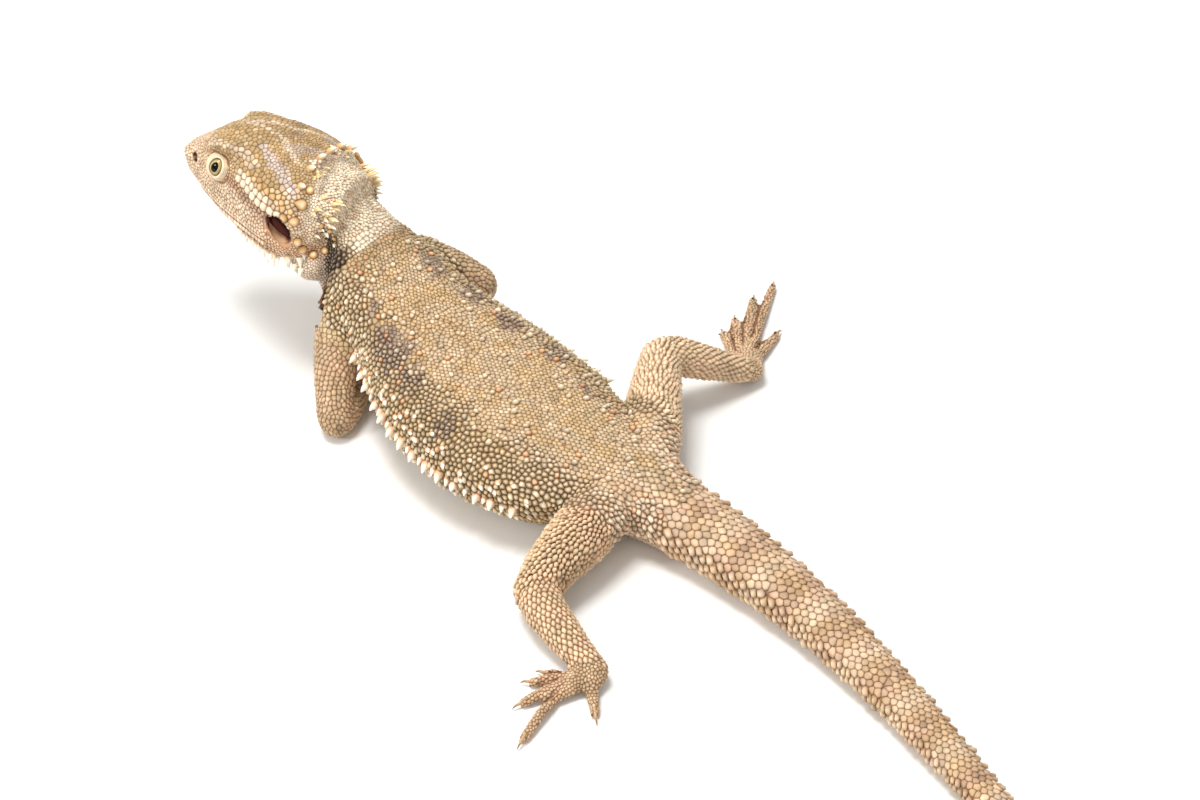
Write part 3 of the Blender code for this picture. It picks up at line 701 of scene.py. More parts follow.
# A span that no angle reaches
NO_SPAN = (9, 9)
# From row to row in sizes of a scale
ROW_PITCH = 0.87


def on_skin(place):
    """The nearest place on the skin to one place, and the normal there."""
    where, normal = surface.nearest(place[None])
    return where[0], normal[0]


def cast(start, way):
    """Where a line from inside the skin leaves it."""
    return start + way * (surface.exit(start, way) or 0.0)


def ring_of_skin(line, distance):
    """Where the skin is cut square to a line, all round it from the top."""
    _, left, up = line.frame(distance)
    start = line.at(distance)
    return np.array([cast(start, way) for way in circle(full_turn(RAYS), up, left)])


def rows_round(roots, line, names, size_at, kind, start=0.0, end=None, free=NO_SPAN):
    """Rows of scales across a part, every other row shifted by half a scale.

    free is the span of angles from the top, on both sides, that the rows leave bare.
    """
    distance, odd = start, False
    while distance < (line.length if end is None else end):
        size = size_at(distance)
        hits = ring_of_skin(line, distance)
        fits = within(parts.of(hits), *names)
        ahead = line.direction(distance)
        closed = np.vstack([hits, hits[:1]])
        turns = np.abs((np.linspace(0, 2 * math.pi, RAYS + 1) + math.pi) % (2 * math.pi) - math.pi)
        arc = distances_along(closed)
        shift = 0.5 * size if odd else 0.0
        steps = np.arange(shift, arc[-1] / 2, size)
        for side in (steps, arc[-1] - steps[(0 if odd else 1):]):
            spots = interpolated(side, arc, closed)
            held = np.interp(side, arc, np.append(fits, fits[0]).astype(float)) > 0.9
            turn = np.interp(side, arc, turns)
            held &= (turn < free[0]) | (turn > free[1])
            roots.add(spots[held], size, ahead, kind)
        distance += size * ROW_PITCH
        odd = not odd


def tail_scale_size(distance):
    """Scales shrink from the root of the tail to its tip."""
    share = np.clip((distance - tail_start) / (body.length - tail_start), 0, 1)
    return 2.2 - 0.45 * ramp(share, 0.05, 0.5) - 0.90 * ramp(share, 0.5, 1.0)


def back_scale_size(distance):
    """Small scales on the back, growing towards the tail."""
    return 1.08 + 0.14 * ramp(distance, 20, 70) + 0.88 * ramp(distance, tail_start - 24, tail_start)


def on_body(along, turn):
    """A place on the skin from the distance along the body and the angle to its left."""
    ahead, left, up = body.frame(along)
    return cast(body.at(along), up * math.cos(turn) + left * math.sin(turn)), ahead


# From wart to wart: millimetres along the body and degrees round it
WART_STEP, WART_TURN = 2.9, 6.5
RUSTY_SHARE = 0.34


def warts(roots):
    """Bigger keeled scales in broken bands, few on the back and many on the flanks."""
    for along in np.arange(14, tail_start + 10, WART_STEP):
        for turn in np.radians(np.arange(-92, 93, WART_TURN)):
            side = ramp(abs(turn), math.radians(18), math.radians(48))
            low = ramp(abs(turn), math.radians(62), math.radians(84))
            if random.uniform() > 0.05 + 0.30 * side + 0.45 * low:
                continue
            place, ahead = on_body(along + random.uniform(-1.3, 1.3),
                                   turn + math.radians(random.uniform(-3, 3)))
            if not within(parts.of(place[None]), "trunk", "neck")[0]:
                continue
            rusty = random.uniform() < RUSTY_SHARE * bump(abs(turn), math.radians(58), 0.45)
            size = random.uniform(1.3, 1.6) + 0.15 * low
            roots.add(place, size, ahead, "rusty" if rusty else "wart")


# The tail's fringe: degrees from the top, and how far it stays off the tip
EDGE_FROM, EDGE_TO = 66, 104
EDGE_OFF_TIP = 30


def edge_of_tail(kinds, places):
    """The scales along both edges of the tail end in points."""
    along, turn = body.round_about(places)
    degrees = np.degrees(np.abs(turn))
    edge = (kinds == KIND_NAMES.index("tail")) & (degrees > EDGE_FROM) & (degrees < EDGE_TO)
    edge &= along < body.length - EDGE_OFF_TIP
    kinds[edge] = KIND_NAMES.index("edge")


# ---------------------------------------------------------------- rows and shields of the head

# Lines back and up on the side of the head
MOUTH_LINE = ((-0.01, -0.062), (0.06, -0.080), (0.15, -0.112), (0.30, -0.150), (0.46, -0.175),
              (0.60, -0.189), (0.756, -0.206), (0.80, -0.212))
TEMPLE_LINE = ((0.54, 0.105), (0.60, 0.090), (0.66, 0.066), (0.73, 0.034), (0.80, 0.018),
               (0.865, 0.006), (0.93, -0.012))
# Single scales: their places on the left of the head, and their sizes in millimetres
AMBER_SPOTS = ((1.036, 0.260, 0.151, 2.2), (1.026, 0.330, 0.081, 2.9), (0.939, 0.401, -0.010, 2.4),
               (1.007, 0.381, -0.018, 2.6), (1.030, 0.376, -0.153, 2.4), (1.049, 0.350, -0.211, 2.5),
               (1.099, 0.305, -0.247, 2.4), (1.160, 0.274, -0.214, 2.0))
GOLDEN_SPOTS = ((0.925, 0.390, 0.045, 1.7), (0.975, 0.381, 0.037, 1.6), (0.911, 0.381, 0.080, 1.6),
                (0.885, 0.374, 0.110, 1.5), (0.845, 0.372, 0.100, 1.6), (0.80, 0.366, 0.118, 1.7),
                (0.745, 0.355, 0.128, 1.7), (0.69, 0.335, 0.150, 1.6), (0.63, 0.315, 0.160, 1.5),
                (1.144, 0.302, -0.047, 1.5), (1.185, 0.277, -0.087, 1.6), (1.158, 0.282, 0.0, 1.3),
                (1.196, 0.245, -0.147, 1.5))
WHITE_SPOTS = ((0.975, 0.105, 0.262, 1.2), (1.000, 0.095, 0.256, 1.1), (0.985, 0.130, 0.250, 1.2),
               (1.010, 0.125, 0.240, 1.0), (0.955, 0.120, 0.262, 1.0))


def cheek_place(back, up, side):
    """Where the side of the head is met at so far back and so high."""
    return cast(head_place(back, 0.0, up), HEAD[1] * side)


def cheek_row(roots, line, side, step, kind, lift=0.0, size=None, last=1.0):
    """A row of scales along a line on the side of the head, moved up by so many millimetres."""
    curve = drawn_through(line, 0.01)
    slope = np.gradient(curve, axis=0)
    slope /= np.linalg.norm(slope, axis=1, keepdims=True)
    curve = curve + np.stack([-slope[:, 1], slope[:, 0]], 1) * lift / HEAD_LENGTH
    spots = np.array([cheek_place(back, up, side) for back, up in curve])
    arc = distances_along(spots)
    wanted = np.arange(0.5 * step, last * arc[-1], step)
    ways = unit(interpolated(wanted, arc, np.gradient(spots, axis=0)))
    roots.add(interpolated(wanted, arc, spots), size or step, ways, kind)


def eye_frame(side):
    """Middle of the eyeball, and the directions out, back and up of the opening."""
    middle = centre_of(sided("eye", side))
    out = unit(HEAD[1] * side * 0.95 + HEAD[2] * 0.30 - HEAD[0] * 0.02)
    back = unit(HEAD[0] * 0.94 - HEAD[2] * 0.34)
    back = unit(back - out * (back @ out))
    return middle, out, back, np.cross(back, out) * -side


EYE_RADIUS = 3.0
LID_REACH = 4.2
# Rings of roots round the eyelids: radius, how many, their size and kind
EYE_RINGS = ((LID_REACH + 0.15, 60, 0.42, "gap"), (LID_REACH + 0.75, 36, 0.80, "face"),
             (LID_REACH + 1.55, 40, 0.80, "face"))


def eye_rings(roots, side):
    """Fine scales in rings round the eyelids."""
    middle, out, back, up = eye_frame(side)
    for radius, count, size, kind in EYE_RINGS:
        for turn in full_turn(count):
            way = back * math.cos(turn) * 1.04 + up * math.sin(turn)
            place = middle + way * radius + out
            roots.add(surface.nearest(place[None])[0], size, way, kind)


# The rows along both lips and the next ones: spacing, and distance from the mouth line
LIP_STEP, LIP_LIFT = 1.25, 0.72
OUTER_STEP, OUTER_LIFT = 1.10, 1.75


def head_roots(roots):
    """The scales of the head that have places of their own."""
    for side in (1, -1):
        eye_rings(roots, side)
        cheek_row(roots, MOUTH_LINE, side, 0.36, "gap", size=0.40)
        for over in (1, -1):
            cheek_row(roots, MOUTH_LINE, side, LIP_STEP, "lip", lift=over * LIP_LIFT)
        for over in (1, -1):
            cheek_row(roots, MOUTH_LINE, side, OUTER_STEP, "face", over * OUTER_LIFT, 1.0)
        cheek_row(roots, TEMPLE_LINE, side, 2.25, "cream")
        cheek_row(roots, TEMPLE_LINE, side, 1.9, "cream", lift=1.95, last=0.75)
        for spots, kind in ((AMBER_SPOTS, "amber"), (GOLDEN_SPOTS, "golden"), (WHITE_SPOTS, "cream")):
            for back, left, up, size in spots:
                place = surface.nearest(head_place(back, left * side, up)[None])[0]
                roots.add(place, size, HEAD[0], kind)


def head_scale_size(places):
    """How big the scales are on the head: finer on the snout, lobe, nape, and by eye and ear."""
    back, left, up = in_head(places).T
    size = 0.85 + 0.30 * ramp(back, 0.1, 0.5)
    top = ramp(up, 0.14, 0.24)
    size = size + 0.30 * top * ramp(back, 0.28, 0.45) * (1 - ramp(back, 0.60, 0.74))
    size = size - 0.36 * top * ramp(back, 0.64, 0.80)
    temple = bump(up, 0.13, 0.09) * ramp(back, 0.50, 0.62) * (1 - ramp(back, 0.88, 0.98))
    size = size + 0.50 * temple
    eyes = np.stack([np.linalg.norm(in_head(places) - np.array(EYE_AT) * (1, side, 1), axis=1)
                     for side in (1, -1)]).min(axis=0)
    lobe = ramp(back, 0.84, 0.94) * (1 - ramp(up, -0.26, -0.17))
    behind = ramp(back, 0.98, 1.05)
    size = size * (1 - 0.25 * (1 - ramp(eyes, 0.11, 0.20)))
    spots = np.stack([back, np.abs(left), up], 1)
    size = size * (1 - 0.35 * near_line(spots, EAR_SLOPE, 0.09))
    return size * (1 - 0.42 * lobe) * (1 - 0.38 * behind * (1 - lobe))


# ---------------------------------------------------------------- strewn scales

# Of two scales closer than this share of their sizes together, one is dropped
CROWDED = 0.40
# Rounds of pushing the rest apart
RELAXED = 4
STREWN_SIZES = {"trunk": 1.38, "hand": 0.82, "foot": 0.85, "shank": 1.2, "forearm": 1.15,
                "thigh": 1.3, "upper_arm": 1.15, "neck": 0.85}
STREWN_KINDS = {"hand": "bead", "foot": "bead", "shank": "leg", "forearm": "arm",
                "thigh": "shaggy", "upper_arm": "arm", "tail": "tail", "neck": "nape",
                "head": "face", "jaw": "face"}
# How high on the head its plates start
CROWN_FROM = 0.14


def free_scale_size(places, own):
    """The size of the strewn scales on each part."""
    sizes = np.empty(len(places))
    for start, size in STREWN_SIZES.items():
        sizes[within(own, start)] = size
    here = within(own, "head", "jaw")
    sizes[here] = head_scale_size(places[here])
    here = within(own, "tail")
    sizes[here] = tail_scale_size(body.round_about(places[here])[0])
    return sizes


def free_kinds(places, own):
    """The kind of the strewn scales on each part."""
    kinds = np.full(len(places), KIND_NAMES.index("back"))
    for start, kind in STREWN_KINDS.items():
        kinds[within(own, start)] = KIND_NAMES.index(kind)
    crown = within(own, "head") & (in_head(places)[:, 2] > CROWN_FROM)
    kinds[crown] = KIND_NAMES.index("plate")
    return kinds


def spaced_out(places, sizes, first):
    """Which places to keep so that none crowd; the first ones have first choice."""
    tree = tree_of(places)
    order = np.concatenate([np.arange(first), first + random.permutation(len(places) - first)])
    free = np.ones(len(places), bool)
    kept = []
    widest = sizes.max()
    for i in order.tolist():
        if not free[i]:
            continue
        kept.append(i)
        size = sizes[i]
        for _, j, away in tree.find_range(places[i], CROWDED * (size + widest)):
            if away < CROWDED * (size + sizes[j]):
                free[j] = False
    return np.array(kept)


def relaxed(places, sizes, fixed):
    """Pushes free scales apart until they are evenly spread."""
    for _ in range(RELAXED):
        near, away = neighbours(places, 8)
        wish = 0.5 * (sizes[:, None] + sizes[near])
        push = np.clip(wish * 1.05 - away, 0, None) / np.maximum(away, 0.05)
        step = ((places[:, None] - places[near]) * push[..., None]).sum(axis=1) * 0.22
        moved = ~fixed
        places = places.copy()
        places[moved] = surface.nearest(places[moved] + step[moved])[0]
    return places


def neighbours(places, count):
    """The nearest other places to each, and how far they are."""
    tree = tree_of(places)
    found = [tree.find_n(place, count + 1)[1:] for place in places.tolist()]
    near = np.array([[hit[1] for hit in hits] for hits in found])
    away = np.array([[hit[2] for hit in hits] for hits in found])
    return near, away


# ---------------------------------------------------------------- markings

SAND = tint(210, 184, 148)
OCHRE = tint(206, 172, 122)
PALE = tint(232, 210, 180)
GREY = tint(172, 152, 130)
SLATE = tint(140, 122, 112)
LAVENDER = tint(212, 194, 182)
OLIVE = tint(184, 160, 116)
BROWN = tint(146, 102, 70)
DARK = tint(38, 22, 14)
PINK = tint(224, 190, 158)
GROOVE = tint(138, 86, 52)
DEEP_GROOVE = tint(66, 36, 16)
MAROON = tint(74, 20, 12)
FUNNEL = tint(214, 166, 126)

# How much each region's colours are darkened in the end
HEAD_TONE = 0.9
BODY_TONE = 0.93
LEG_TONE = np.array((0.97, 0.90, 0.80))
# The arms are darkened most, partly as their own darker tone and partly as painted shade.
ARM_TONE_AND_SHADE = 0.74
PAW_TONE = 0.84
# The length of the tail that a dark and a light band take together
TAIL_BAND = 17
# Blotches along the back: distance along the body, angle to the left, length, width, strength
BLOTCHES = ((38, 55, 8, 16, 1.0), (49, 58, 6, 10, 0.8), (67, 64, 5, 10, 0.55), (86, 50, 5, 10, 0.4),
            (22, -40, 7, 16, 0.9), (37, -46, 6, 14, 1.0), (53, -47, 6, 13, 0.9),
            (69, -54, 6, 13, 0.8), (85, -44, 5, 12, 0.6), (8, -44, 4, 14, 1.0), (24, 50, 4, 12, 0.5))


def body_colours(places):
    """Sand with grey blotches on the back, olive flanks, a banded tail and a pale nape."""
    along, turn = body.round_about(places)
    degrees = np.degrees(turn)
    wave = cloud(places, 5.0)
    fine = cloud(places, 1.7, 30)
    flank = ramp(np.abs(turn) + 0.3 * (wave - 0.5), FLANK_FROM - 0.2, FLANK_FROM + 0.4)
    blotch = np.zeros(len(places))
    for middle, angle, length, width, strength in BLOTCHES:
        patch = bump(along, middle, length) * bump(degrees, angle, width)
        blotch = np.maximum(blotch, strength * patch)
    blotch = ramp(blotch + 0.75 * (fine - 0.5) + 0.4 * (wave - 0.5), 0.38, 0.62)
    low = ramp(np.abs(turn), BELLY_FROM - 0.2, BELLY_FROM + 0.3)
    bands = (along - tail_start) / TAIL_BAND * 2 * math.pi + 0.8 * (wave - 0.5)
    bands = 0.5 + 0.5 * np.sin(bands)
    tail_colour = layered(PINK, (OCHRE, ramp(wave, 0.3, 0.7) * 0.6),
                          (BROWN, ramp(bands, 0.62, 0.95) * 0.30 * ramp(fine, 0.3, 0.6)),
                          (PALE, ramp(1 - bands, 0.55, 0.9) * 0.45)) * BODY_TONE
    beside = np.abs(degrees)
    hips = bump(along, tail_start - 8, 12) * ramp(beside, 15, 35)
    nape = (1 - ramp(along, 8, 20)) * (1 - ramp(beside, 50, 70))
    return layered(SAND, (OCHRE, ramp(wave, 0.35, 0.7) * 0.7),
                   (PALE, ramp(fine, 0.60, 0.75) * 0.55),
                   (OLIVE, flank * 0.55),
                   (mixed(GREY, SLATE, ramp(fine, 0.4, 0.6)), blotch * 0.8),
                   (PINK, low * 0.8),
                   (tail_colour, ramp(along, tail_start - 12, tail_start + 4)),
                   (PINK, hips * 0.8),
                   (PALE, hips * ramp(fine, 0.48, 0.58) * 0.9),
                   # painted shade in the fold behind the jaw, on both sides of the neck
                   (DARK, (1 - ramp(along, 6, 14)) * ramp(beside, 55, 75) * 0.97),
                   (OLIVE * 0.85, nape * ramp(wave, 0.2, 0.5) * 0.7),
                   (CREAM, nape * (1 - ramp(along, 4, 10)) * 0.9),
                   (RUST, nape * ramp(fine, 0.55, 0.65) * 0.5)) * BODY_TONE


def leg_colours(places, own):
    """Pinkish sand, faintly barred, darker on arms and paws, with painted shade between the toes."""
    wave = cloud(places, 6.0, 7)
    fine = cloud(places, 1.8, 50)
    arm = within(own, "upper_arm", "forearm")
    paw = within(own, "hand", "foot")
    tone = LEG_TONE * np.where(paw, PAW_TONE, np.where(arm, ARM_TONE_AND_SHADE, 1.0))[:, None]
    return tone * layered(PINK, (SAND, ramp(wave, 0.3, 0.7)),
                          (BROWN, ramp(wave, 0.60, 0.80) * 0.30),
                          (PALE, ramp(fine, 0.55, 0.75) * 0.6),
                          # painted shade in the gaps between the toes
                          (BROWN * 0.5, 0.7 * ramp(toe_gaps(places, own), 0.3, 0.7)))


def side_view(line):
    """A line of places on the head as seen from its side."""
    return np.array(line)[:, ::2]


def near_line(spots, points, width):
    """1 along a line of places on the head, falling to 0 a width away."""
    curve = drawn_through(points, 0.02)
    away = np.min([np.linalg.norm(spots - point, axis=1) for point in curve], axis=0)
    return np.exp(-(away / width) ** 2)


# Stripes on the head, as lines of places on it
GREY_STREAK = ((0.66, 0.19, 0.30), (0.715, 0.221, 0.290), (0.805, 0.277, 0.244),
               (0.870, 0.297, 0.213), (0.923, 0.314, 0.177), (0.961, 0.329, 0.139))
PALE_STREAK = ((0.453, 0.01, 0.327), (0.614, 0.05, 0.344), (0.719, 0.065, 0.335),
               (0.831, 0.144, 0.301), (0.898, 0.181, 0.267), (0.98, 0.172, 0.262))
EYE_BAND = ((0.50, 0.30, 0.055), (0.58, 0.325, 0.045), (0.68, 0.36, 0.0), (0.78, 0.40, -0.03))
PARIETAL_SPOT = ((0.745, 0.01, 0.33), (0.76, 0.03, 0.33))


def head_colours(places):
    """Ochre crown with grey streaks, pale cheeks and lips, and a brown band behind the eye."""
    spots = in_head(places)
    spots[:, 1] = np.abs(spots[:, 1])
    back, left, up = spots.T
    wave = cloud(places, 4.0, 11)
    fine = cloud(places, 1.4, 70)
    snout = 1 - ramp(back, 0.12, 0.34)
    cheek = 1 - ramp(up, -0.02, 0.10)
    light = np.maximum(snout, cheek)
    nape = ramp(back, 1.0, 1.08) * ramp(up, -0.10, 0.05)
    grey, pale = (ramp(near_line(spots, line, width) + 0.4 * (fine - 0.5), 0.35, 0.7)
                  for line, width in ((GREY_STREAK, 0.040), (PALE_STREAK, 0.026)))
    crown = ramp(back, 0.72, 0.85) * ramp(up, 0.16, 0.24)
    lobe = ramp(back, 0.92, 1.0) * (1 - ramp(up, -0.30, -0.24))
    jaw_rim = bump(up, -0.22, 0.05) * ramp(back, 0.66, 0.80) * ramp(left, 0.2, 0.3)
    eye = np.linalg.norm(spots - EYE_AT, axis=1) * HEAD_LENGTH
    fold = ramp(back, 1.13, 1.19) * (1 - ramp(up, -0.22, -0.10))
    seen = spots[:, ::2]
    slope, hollow, nostril = (near_line(seen, side_view(line), width) for line, width in
                              ((EAR_SLOPE, 0.048), (EAR_HOLLOW, 0.050), (NOSTRIL_DIP, 0.020)))
    base = mixed(OCHRE, OLIVE, ramp(wave, 0.45, 0.65) * 0.6) * 0.86
    return layered(base, (PINK, np.maximum(snout, cheek * 0.8)),
                   (PALE, light * ramp(fine, 0.42, 0.6) * 0.8),
                   (PALE, ramp(near_line(spots, BROW_FOLD, 0.035), 0.3, 0.7) * 0.8),
                   (CREAM, nape * ramp(wave, 0.15, 0.4) * 0.95),
                   (PALE, ramp(fine, 0.55, 0.75) * 0.5),
                   (BROWN, near_line(spots, EYE_BAND, 0.045) * 0.9),
                   (LAVENDER, grey * 0.85),
                   (PALE, pale * 0.8),
                   (LAVENDER, crown * ramp(wave, 0.45, 0.6) * 0.45),
                   (BROWN, near_line(spots, PARIETAL_SPOT, 0.02) * 0.8),
                   ((PALE + LAVENDER) / 2, lobe * 0.9),
                   (RUST, jaw_rim * 0.65),
                   # painted shade in the crease round the eyelids
                   (BROWN, bump(eye, LID_REACH, 0.45) * 0.8),
                   # painted shade in the fold behind the jaw's lobe
                   (DARK, fold * 0.95),
                   (FUNNEL, ramp(slope, 0.3, 0.6)),
                   (MAROON, ramp(hollow, 0.45, 0.75)),
                   # the nostril painted near black as painted shade in its opening
                   (MAROON * 0.3, ramp(nostril, 0.25, 0.6))) * HEAD_TONE


def bare_share(places, own):
    """Where the skin is bare of scales: ears, nostrils and the gaps between the toes."""
    share = np.zeros(len(places))
    here = within(own, "head", "jaw")
    seen = in_head(places[here])[:, ::2]
    holes = [near_line(seen, side_view(line), width) for line, width in
             ((EAR_SLOPE, 0.042), (EAR_HOLLOW, 0.048), (NOSTRIL_DIP, 0.018))]
    share[here] = ramp(np.max(holes, axis=0), 0.25, 0.5)
    return np.maximum(share, ramp(toe_gaps(places, own), 0.45, 0.75))


def markings(places, own):
    """The colour of the animal at each place, the same for the skin and the scales."""
    colour = np.empty((len(places), 3))
    here = within(own, "neck", "trunk", "tail")
    colour[here] = body_colours(places[here])
    here = within(own, "head", "jaw")
    colour[here] = head_colours(places[here])
    here = within(own, "upper_arm", "forearm", "hand", "thigh", "shank", "foot")
    colour[here] = leg_colours(places[here], own[here])
    return colour


# ---------------------------------------------------------------- scales as mesh

# How deep the scales' sides reach, and how far every corner stays inside the solids' box
BASE_DEPTH = 0.14
MARGIN = 0.02
LOWEST, HIGHEST = np.array(solid_box) / MM + ((MARGIN,), (-MARGIN,))
# How many neighbours bound a scale, and its longest reach in sizes
CELL_NEIGHBOURS = 14
WIDEST_REACH = 0.82


def cells(places, normals, lies, sizes, sides):
    """How far each scale reaches before it meets the next, in so many directions."""
    near, _ = neighbours(places, CELL_NEIGHBOURS)
    across = np.cross(normals, lies)
    offset = places[near] - places[:, None]
    away = np.linalg.norm(offset, axis=2)
    x = np.einsum("ijk,ik->ij", offset, lies)
    y = np.einsum("ijk,ik->ij", offset, across)
    flat = np.maximum(np.hypot(x, y), 1e-6)
    same_side = np.einsum("ijk,ik->ij", normals[near], normals) > -0.1
    weight = (0.5 * sizes) ** 2
    wall = away / 2 + (weight[:, None] - weight[near]) / (2 * away)
    wall = np.where(same_side, np.maximum(wall, 0.15 * away), FAR)
    turn = full_turn(sides)
    toward = (x[..., None] * np.cos(turn) + y[..., None] * np.sin(turn)) / flat[..., None]
    reach = np.where(toward > 0.05, wall[..., None] / np.maximum(toward, 0.05), FAR).min(axis=1)
    return np.minimum(reach, WIDEST_REACH * sizes[:, None])


def scale_faces(count, sides):
    """Triangles of so many scales: three rings of corners and a top each."""
    one, after = ring_corners(sides)
    faces = []
    for inner, outer in ((0, 1), (1, 2)):
        a, b = inner * sides + one, inner * sides + after
        c, d = outer * sides + after, outer * sides + one
        faces += [np.stack([a, b, c], 1), np.stack([a, c, d], 1)]
    faces.append(np.stack([2 * sides + one, 2 * sides + after, np.full(sides, 3 * sides)], 1))
    per = 3 * sides + 1
    return (np.vstack(faces)[None] + (np.arange(count) * per)[:, None, None]).reshape(-1, 3)


def scale_piece(name, pick, sides):
    """One mesh with a scale on each of the picked roots."""
    place, normal, lie, size = (coat[key][pick] for key in ("place", "normal", "lie", "size"))
    crown, tilt, keel, point, groove, flat, edge, top_highlight = coat["form"][pick].T[:, :, None]
    reach = coat[sides][pick]
    count = len(pick)
    turn = full_turn(sides)
    across = np.cross(normal, lie)
    way = (lie[:, None] * np.cos(turn)[None, :, None]
           + across[:, None] * np.sin(turn)[None, :, None])
    spot = place[:, None] + way * reach[..., None]
    foot, up = surface.nearest(spot.reshape(-1, 3))
    foot, up = foot.reshape(count, sides, 3), up.reshape(count, sides, 3)
    drop = np.einsum("ijk,ik->ij", foot - place[:, None], normal)
    least = -0.25 * size[:, None] - 0.02
    foot = foot + normal[:, None] * (np.maximum(drop, least) - drop)[..., None]

    def ring(share, height):
        middle = place[:, None] + (foot - place[:, None]) * share[..., None]
        out = unit(normal[:, None] + (up - normal[:, None]) * share[..., None])
        return middle + out * height[..., None]

    back = 0.5 + 0.5 * np.cos(turn)[None, :]
    ridge = np.abs(np.cos(turn))[None, :] ** 6
    wide = size[:, None]
    base = ring(np.ones((count, sides)), np.full((count, sides), -BASE_DEPTH))
    tip = point * back ** 16
    rim = ring(1 - groove + tip, wide * (0.5 * crown + tilt * back ** 2 * 0.9))
    top = ring(flat + 0.7 * tip, wide * (0.92 * crown + tilt * back + keel * ridge))
    apex = place + normal * wide * (crown + 0.45 * tilt + keel)
    corners = np.concatenate([base, rim, top, apex[:, None]], axis=1)
    corners = np.clip(corners, LOWEST, HIGHEST)

    # Painted light and shade: the base ring takes the groove colour, the rim runs towards it as
    # painted shade but stays lighter at the rear tip as a painted highlight, a tilted scale is painted
    # lighter at its raised rear and darker at its front, and the top and apex are paled as a painted
    # highlight.
    colour, dark = coat["colour"][pick], coat["dark"][pick]
    back = back[..., None]
    edge, tilt = edge[..., None], tilt[..., None]
    lit = colour[:, None] * (1 + 0.5 * tilt * (back - 0.5))
    rim_colour = dark[:, None] + (lit - dark[:, None]) * (edge + (1 - edge) * 0.6 * back ** 4)
    pale = colour + (CREAM - colour) * top_highlight
    lit = lit + (pale[:, None] - lit) * 0.35
    shades = np.concatenate([np.repeat(dark[:, None], sides, 1), rim_colour, lit,
                             pale[:, None] * 1.04], axis=1)
    piece = add_piece(name, corners.reshape(-1, 3), scale_faces(count, sides),
                      shades.reshape(-1, 3), painted("scale_horn"))
    unwrap_scales(piece.data, pick, turn)
    return piece


def paint_corners(mesh, colours):
    """Keeps a colour at each corner of the mesh under the name that the materials read."""
    layer = mesh.color_attributes.new("coat", "FLOAT_COLOR", "POINT")
    full = np.concatenate([np.clip(colours, 0, 1), np.ones((len(colours), 1))], axis=1)
    layer.data.foreach_set("color", full.astype(np.float32).ravel())


def add_piece(name, places, faces, colours, material):
    """A smooth piece with a colour painted at each corner."""
    mesh = mesh_of(name, places, faces)
    mesh.shade_smooth()
    paint_corners(mesh, colours)
    mesh.materials.append(material)
    return new_object(name, mesh)


# ---------------------------------------------------------------- the unwrap

# A scale's patch in shares of the unwrap, and the gap between sheets
PATCH = 0.003
SHEET_GAP = 1.5


class Sheets:
    """An unwrap of the skin: each part is rolled off round its own line, side by side."""

    def __init__(self, lines):
        self.lines = lines
        self.start, self.extent = {}, {}
        sizes = {}
        for i, name in enumerate(FLESH):
            along, _, girth = self.rolled(surface.places[owner == i], name)
            self.start[name] = along.min()
            sizes[name] = (girth, np.ptp(along))
        self.place_sheets(sizes)

    def rolled(self, places, name):
        """Distance along a part's line, angle round it, and the sheet's width."""
        line, radius = self.lines[name]
        along, turn = line.round_about(places)
        return along, turn, 2 * math.pi * radius

    def place_sheets(self, sizes):
        """Shelves of sheets, tallest first, in a square."""
        side = 1.12 * math.sqrt(sum((w + SHEET_GAP) * (h + SHEET_GAP) for w, h in sizes.values()))
        x, y, shelf = 0.0, 0.0, 0.0
        self.corner = {}
        for name in sorted(sizes, key=lambda key: -sizes[key][1]):
            wide, high = sizes[name]
            if x + wide > side:
                x, y, shelf = 0.0, y + shelf, 0.0
            self.corner[name] = (x, y)
            x += wide + SHEET_GAP
            shelf = max(shelf, high + SHEET_GAP)
        self.side = max(side, y + shelf)

    def uv(self, places, own, near=None):
        """Where places lie on the sheets; near is the angle to stay close to, for one face."""
        result = np.zeros((len(places), 2))
        turns = np.zeros(len(places))
        for i, name in enumerate(FLESH):
            here = own == i
            if not here.any():
                continue
            along, turn, girth = self.rolled(places[here], name)
            if near is not None:
                turn = near[here] + (turn - near[here] + math.pi) % (2 * math.pi) - math.pi
            turns[here] = turn
            x, y = self.corner[name]
            result[here, 0] = (x + (turn / (2 * math.pi) + 0.5) * girth) / self.side
            result[here, 1] = (y + along - self.start[name]) / self.side
        return np.clip(result, 0.0005, 0.9995), turns


def keep_map(mesh, uv):
    """Puts a place on the unwrap at each corner of the mesh's faces."""
    layer = mesh.uv_layers.new(name="OFBake")
    layer.uv.foreach_set("vector", uv.astype(np.float32).ravel())


def unwrap_scales(mesh, pick, turn):
    """A small patch on the unwrap for each scale, at its root's place."""
    round_it = np.stack([np.cos(turn), np.sin(turn)], 1)
    patch = np.vstack([round_it * 0.5, round_it * 0.4, round_it * 0.25, np.zeros((1, 2))]) * PATCH
    uv = (coat["uv"][pick][:, None] + patch[None]).reshape(-1, 2)
    keep_map(mesh, np.clip(uv, 0, 1)[corners_of(mesh)])


def unwrap_skin(mesh):
    """The skin's own map, part by part, with no face stretched across a seam."""
    places, corners = places_of(mesh), corners_of(mesh)
    middles = places[corners.reshape(-1, 3)].mean(axis=1)
    own = parts.of(middles)
    _, turns = the_sheets.uv(middles, own)
    uv, _ = the_sheets.uv(places[corners], np.repeat(own, 3), np.repeat(turns, 3))
    keep_map(mesh, uv)


# ---------------------------------------------------------------- spines

SPIKE_SIDES = 8
SPIKE_LEVELS = (-0.15, 0.15, 0.4, 0.65, 0.85, 1.0)


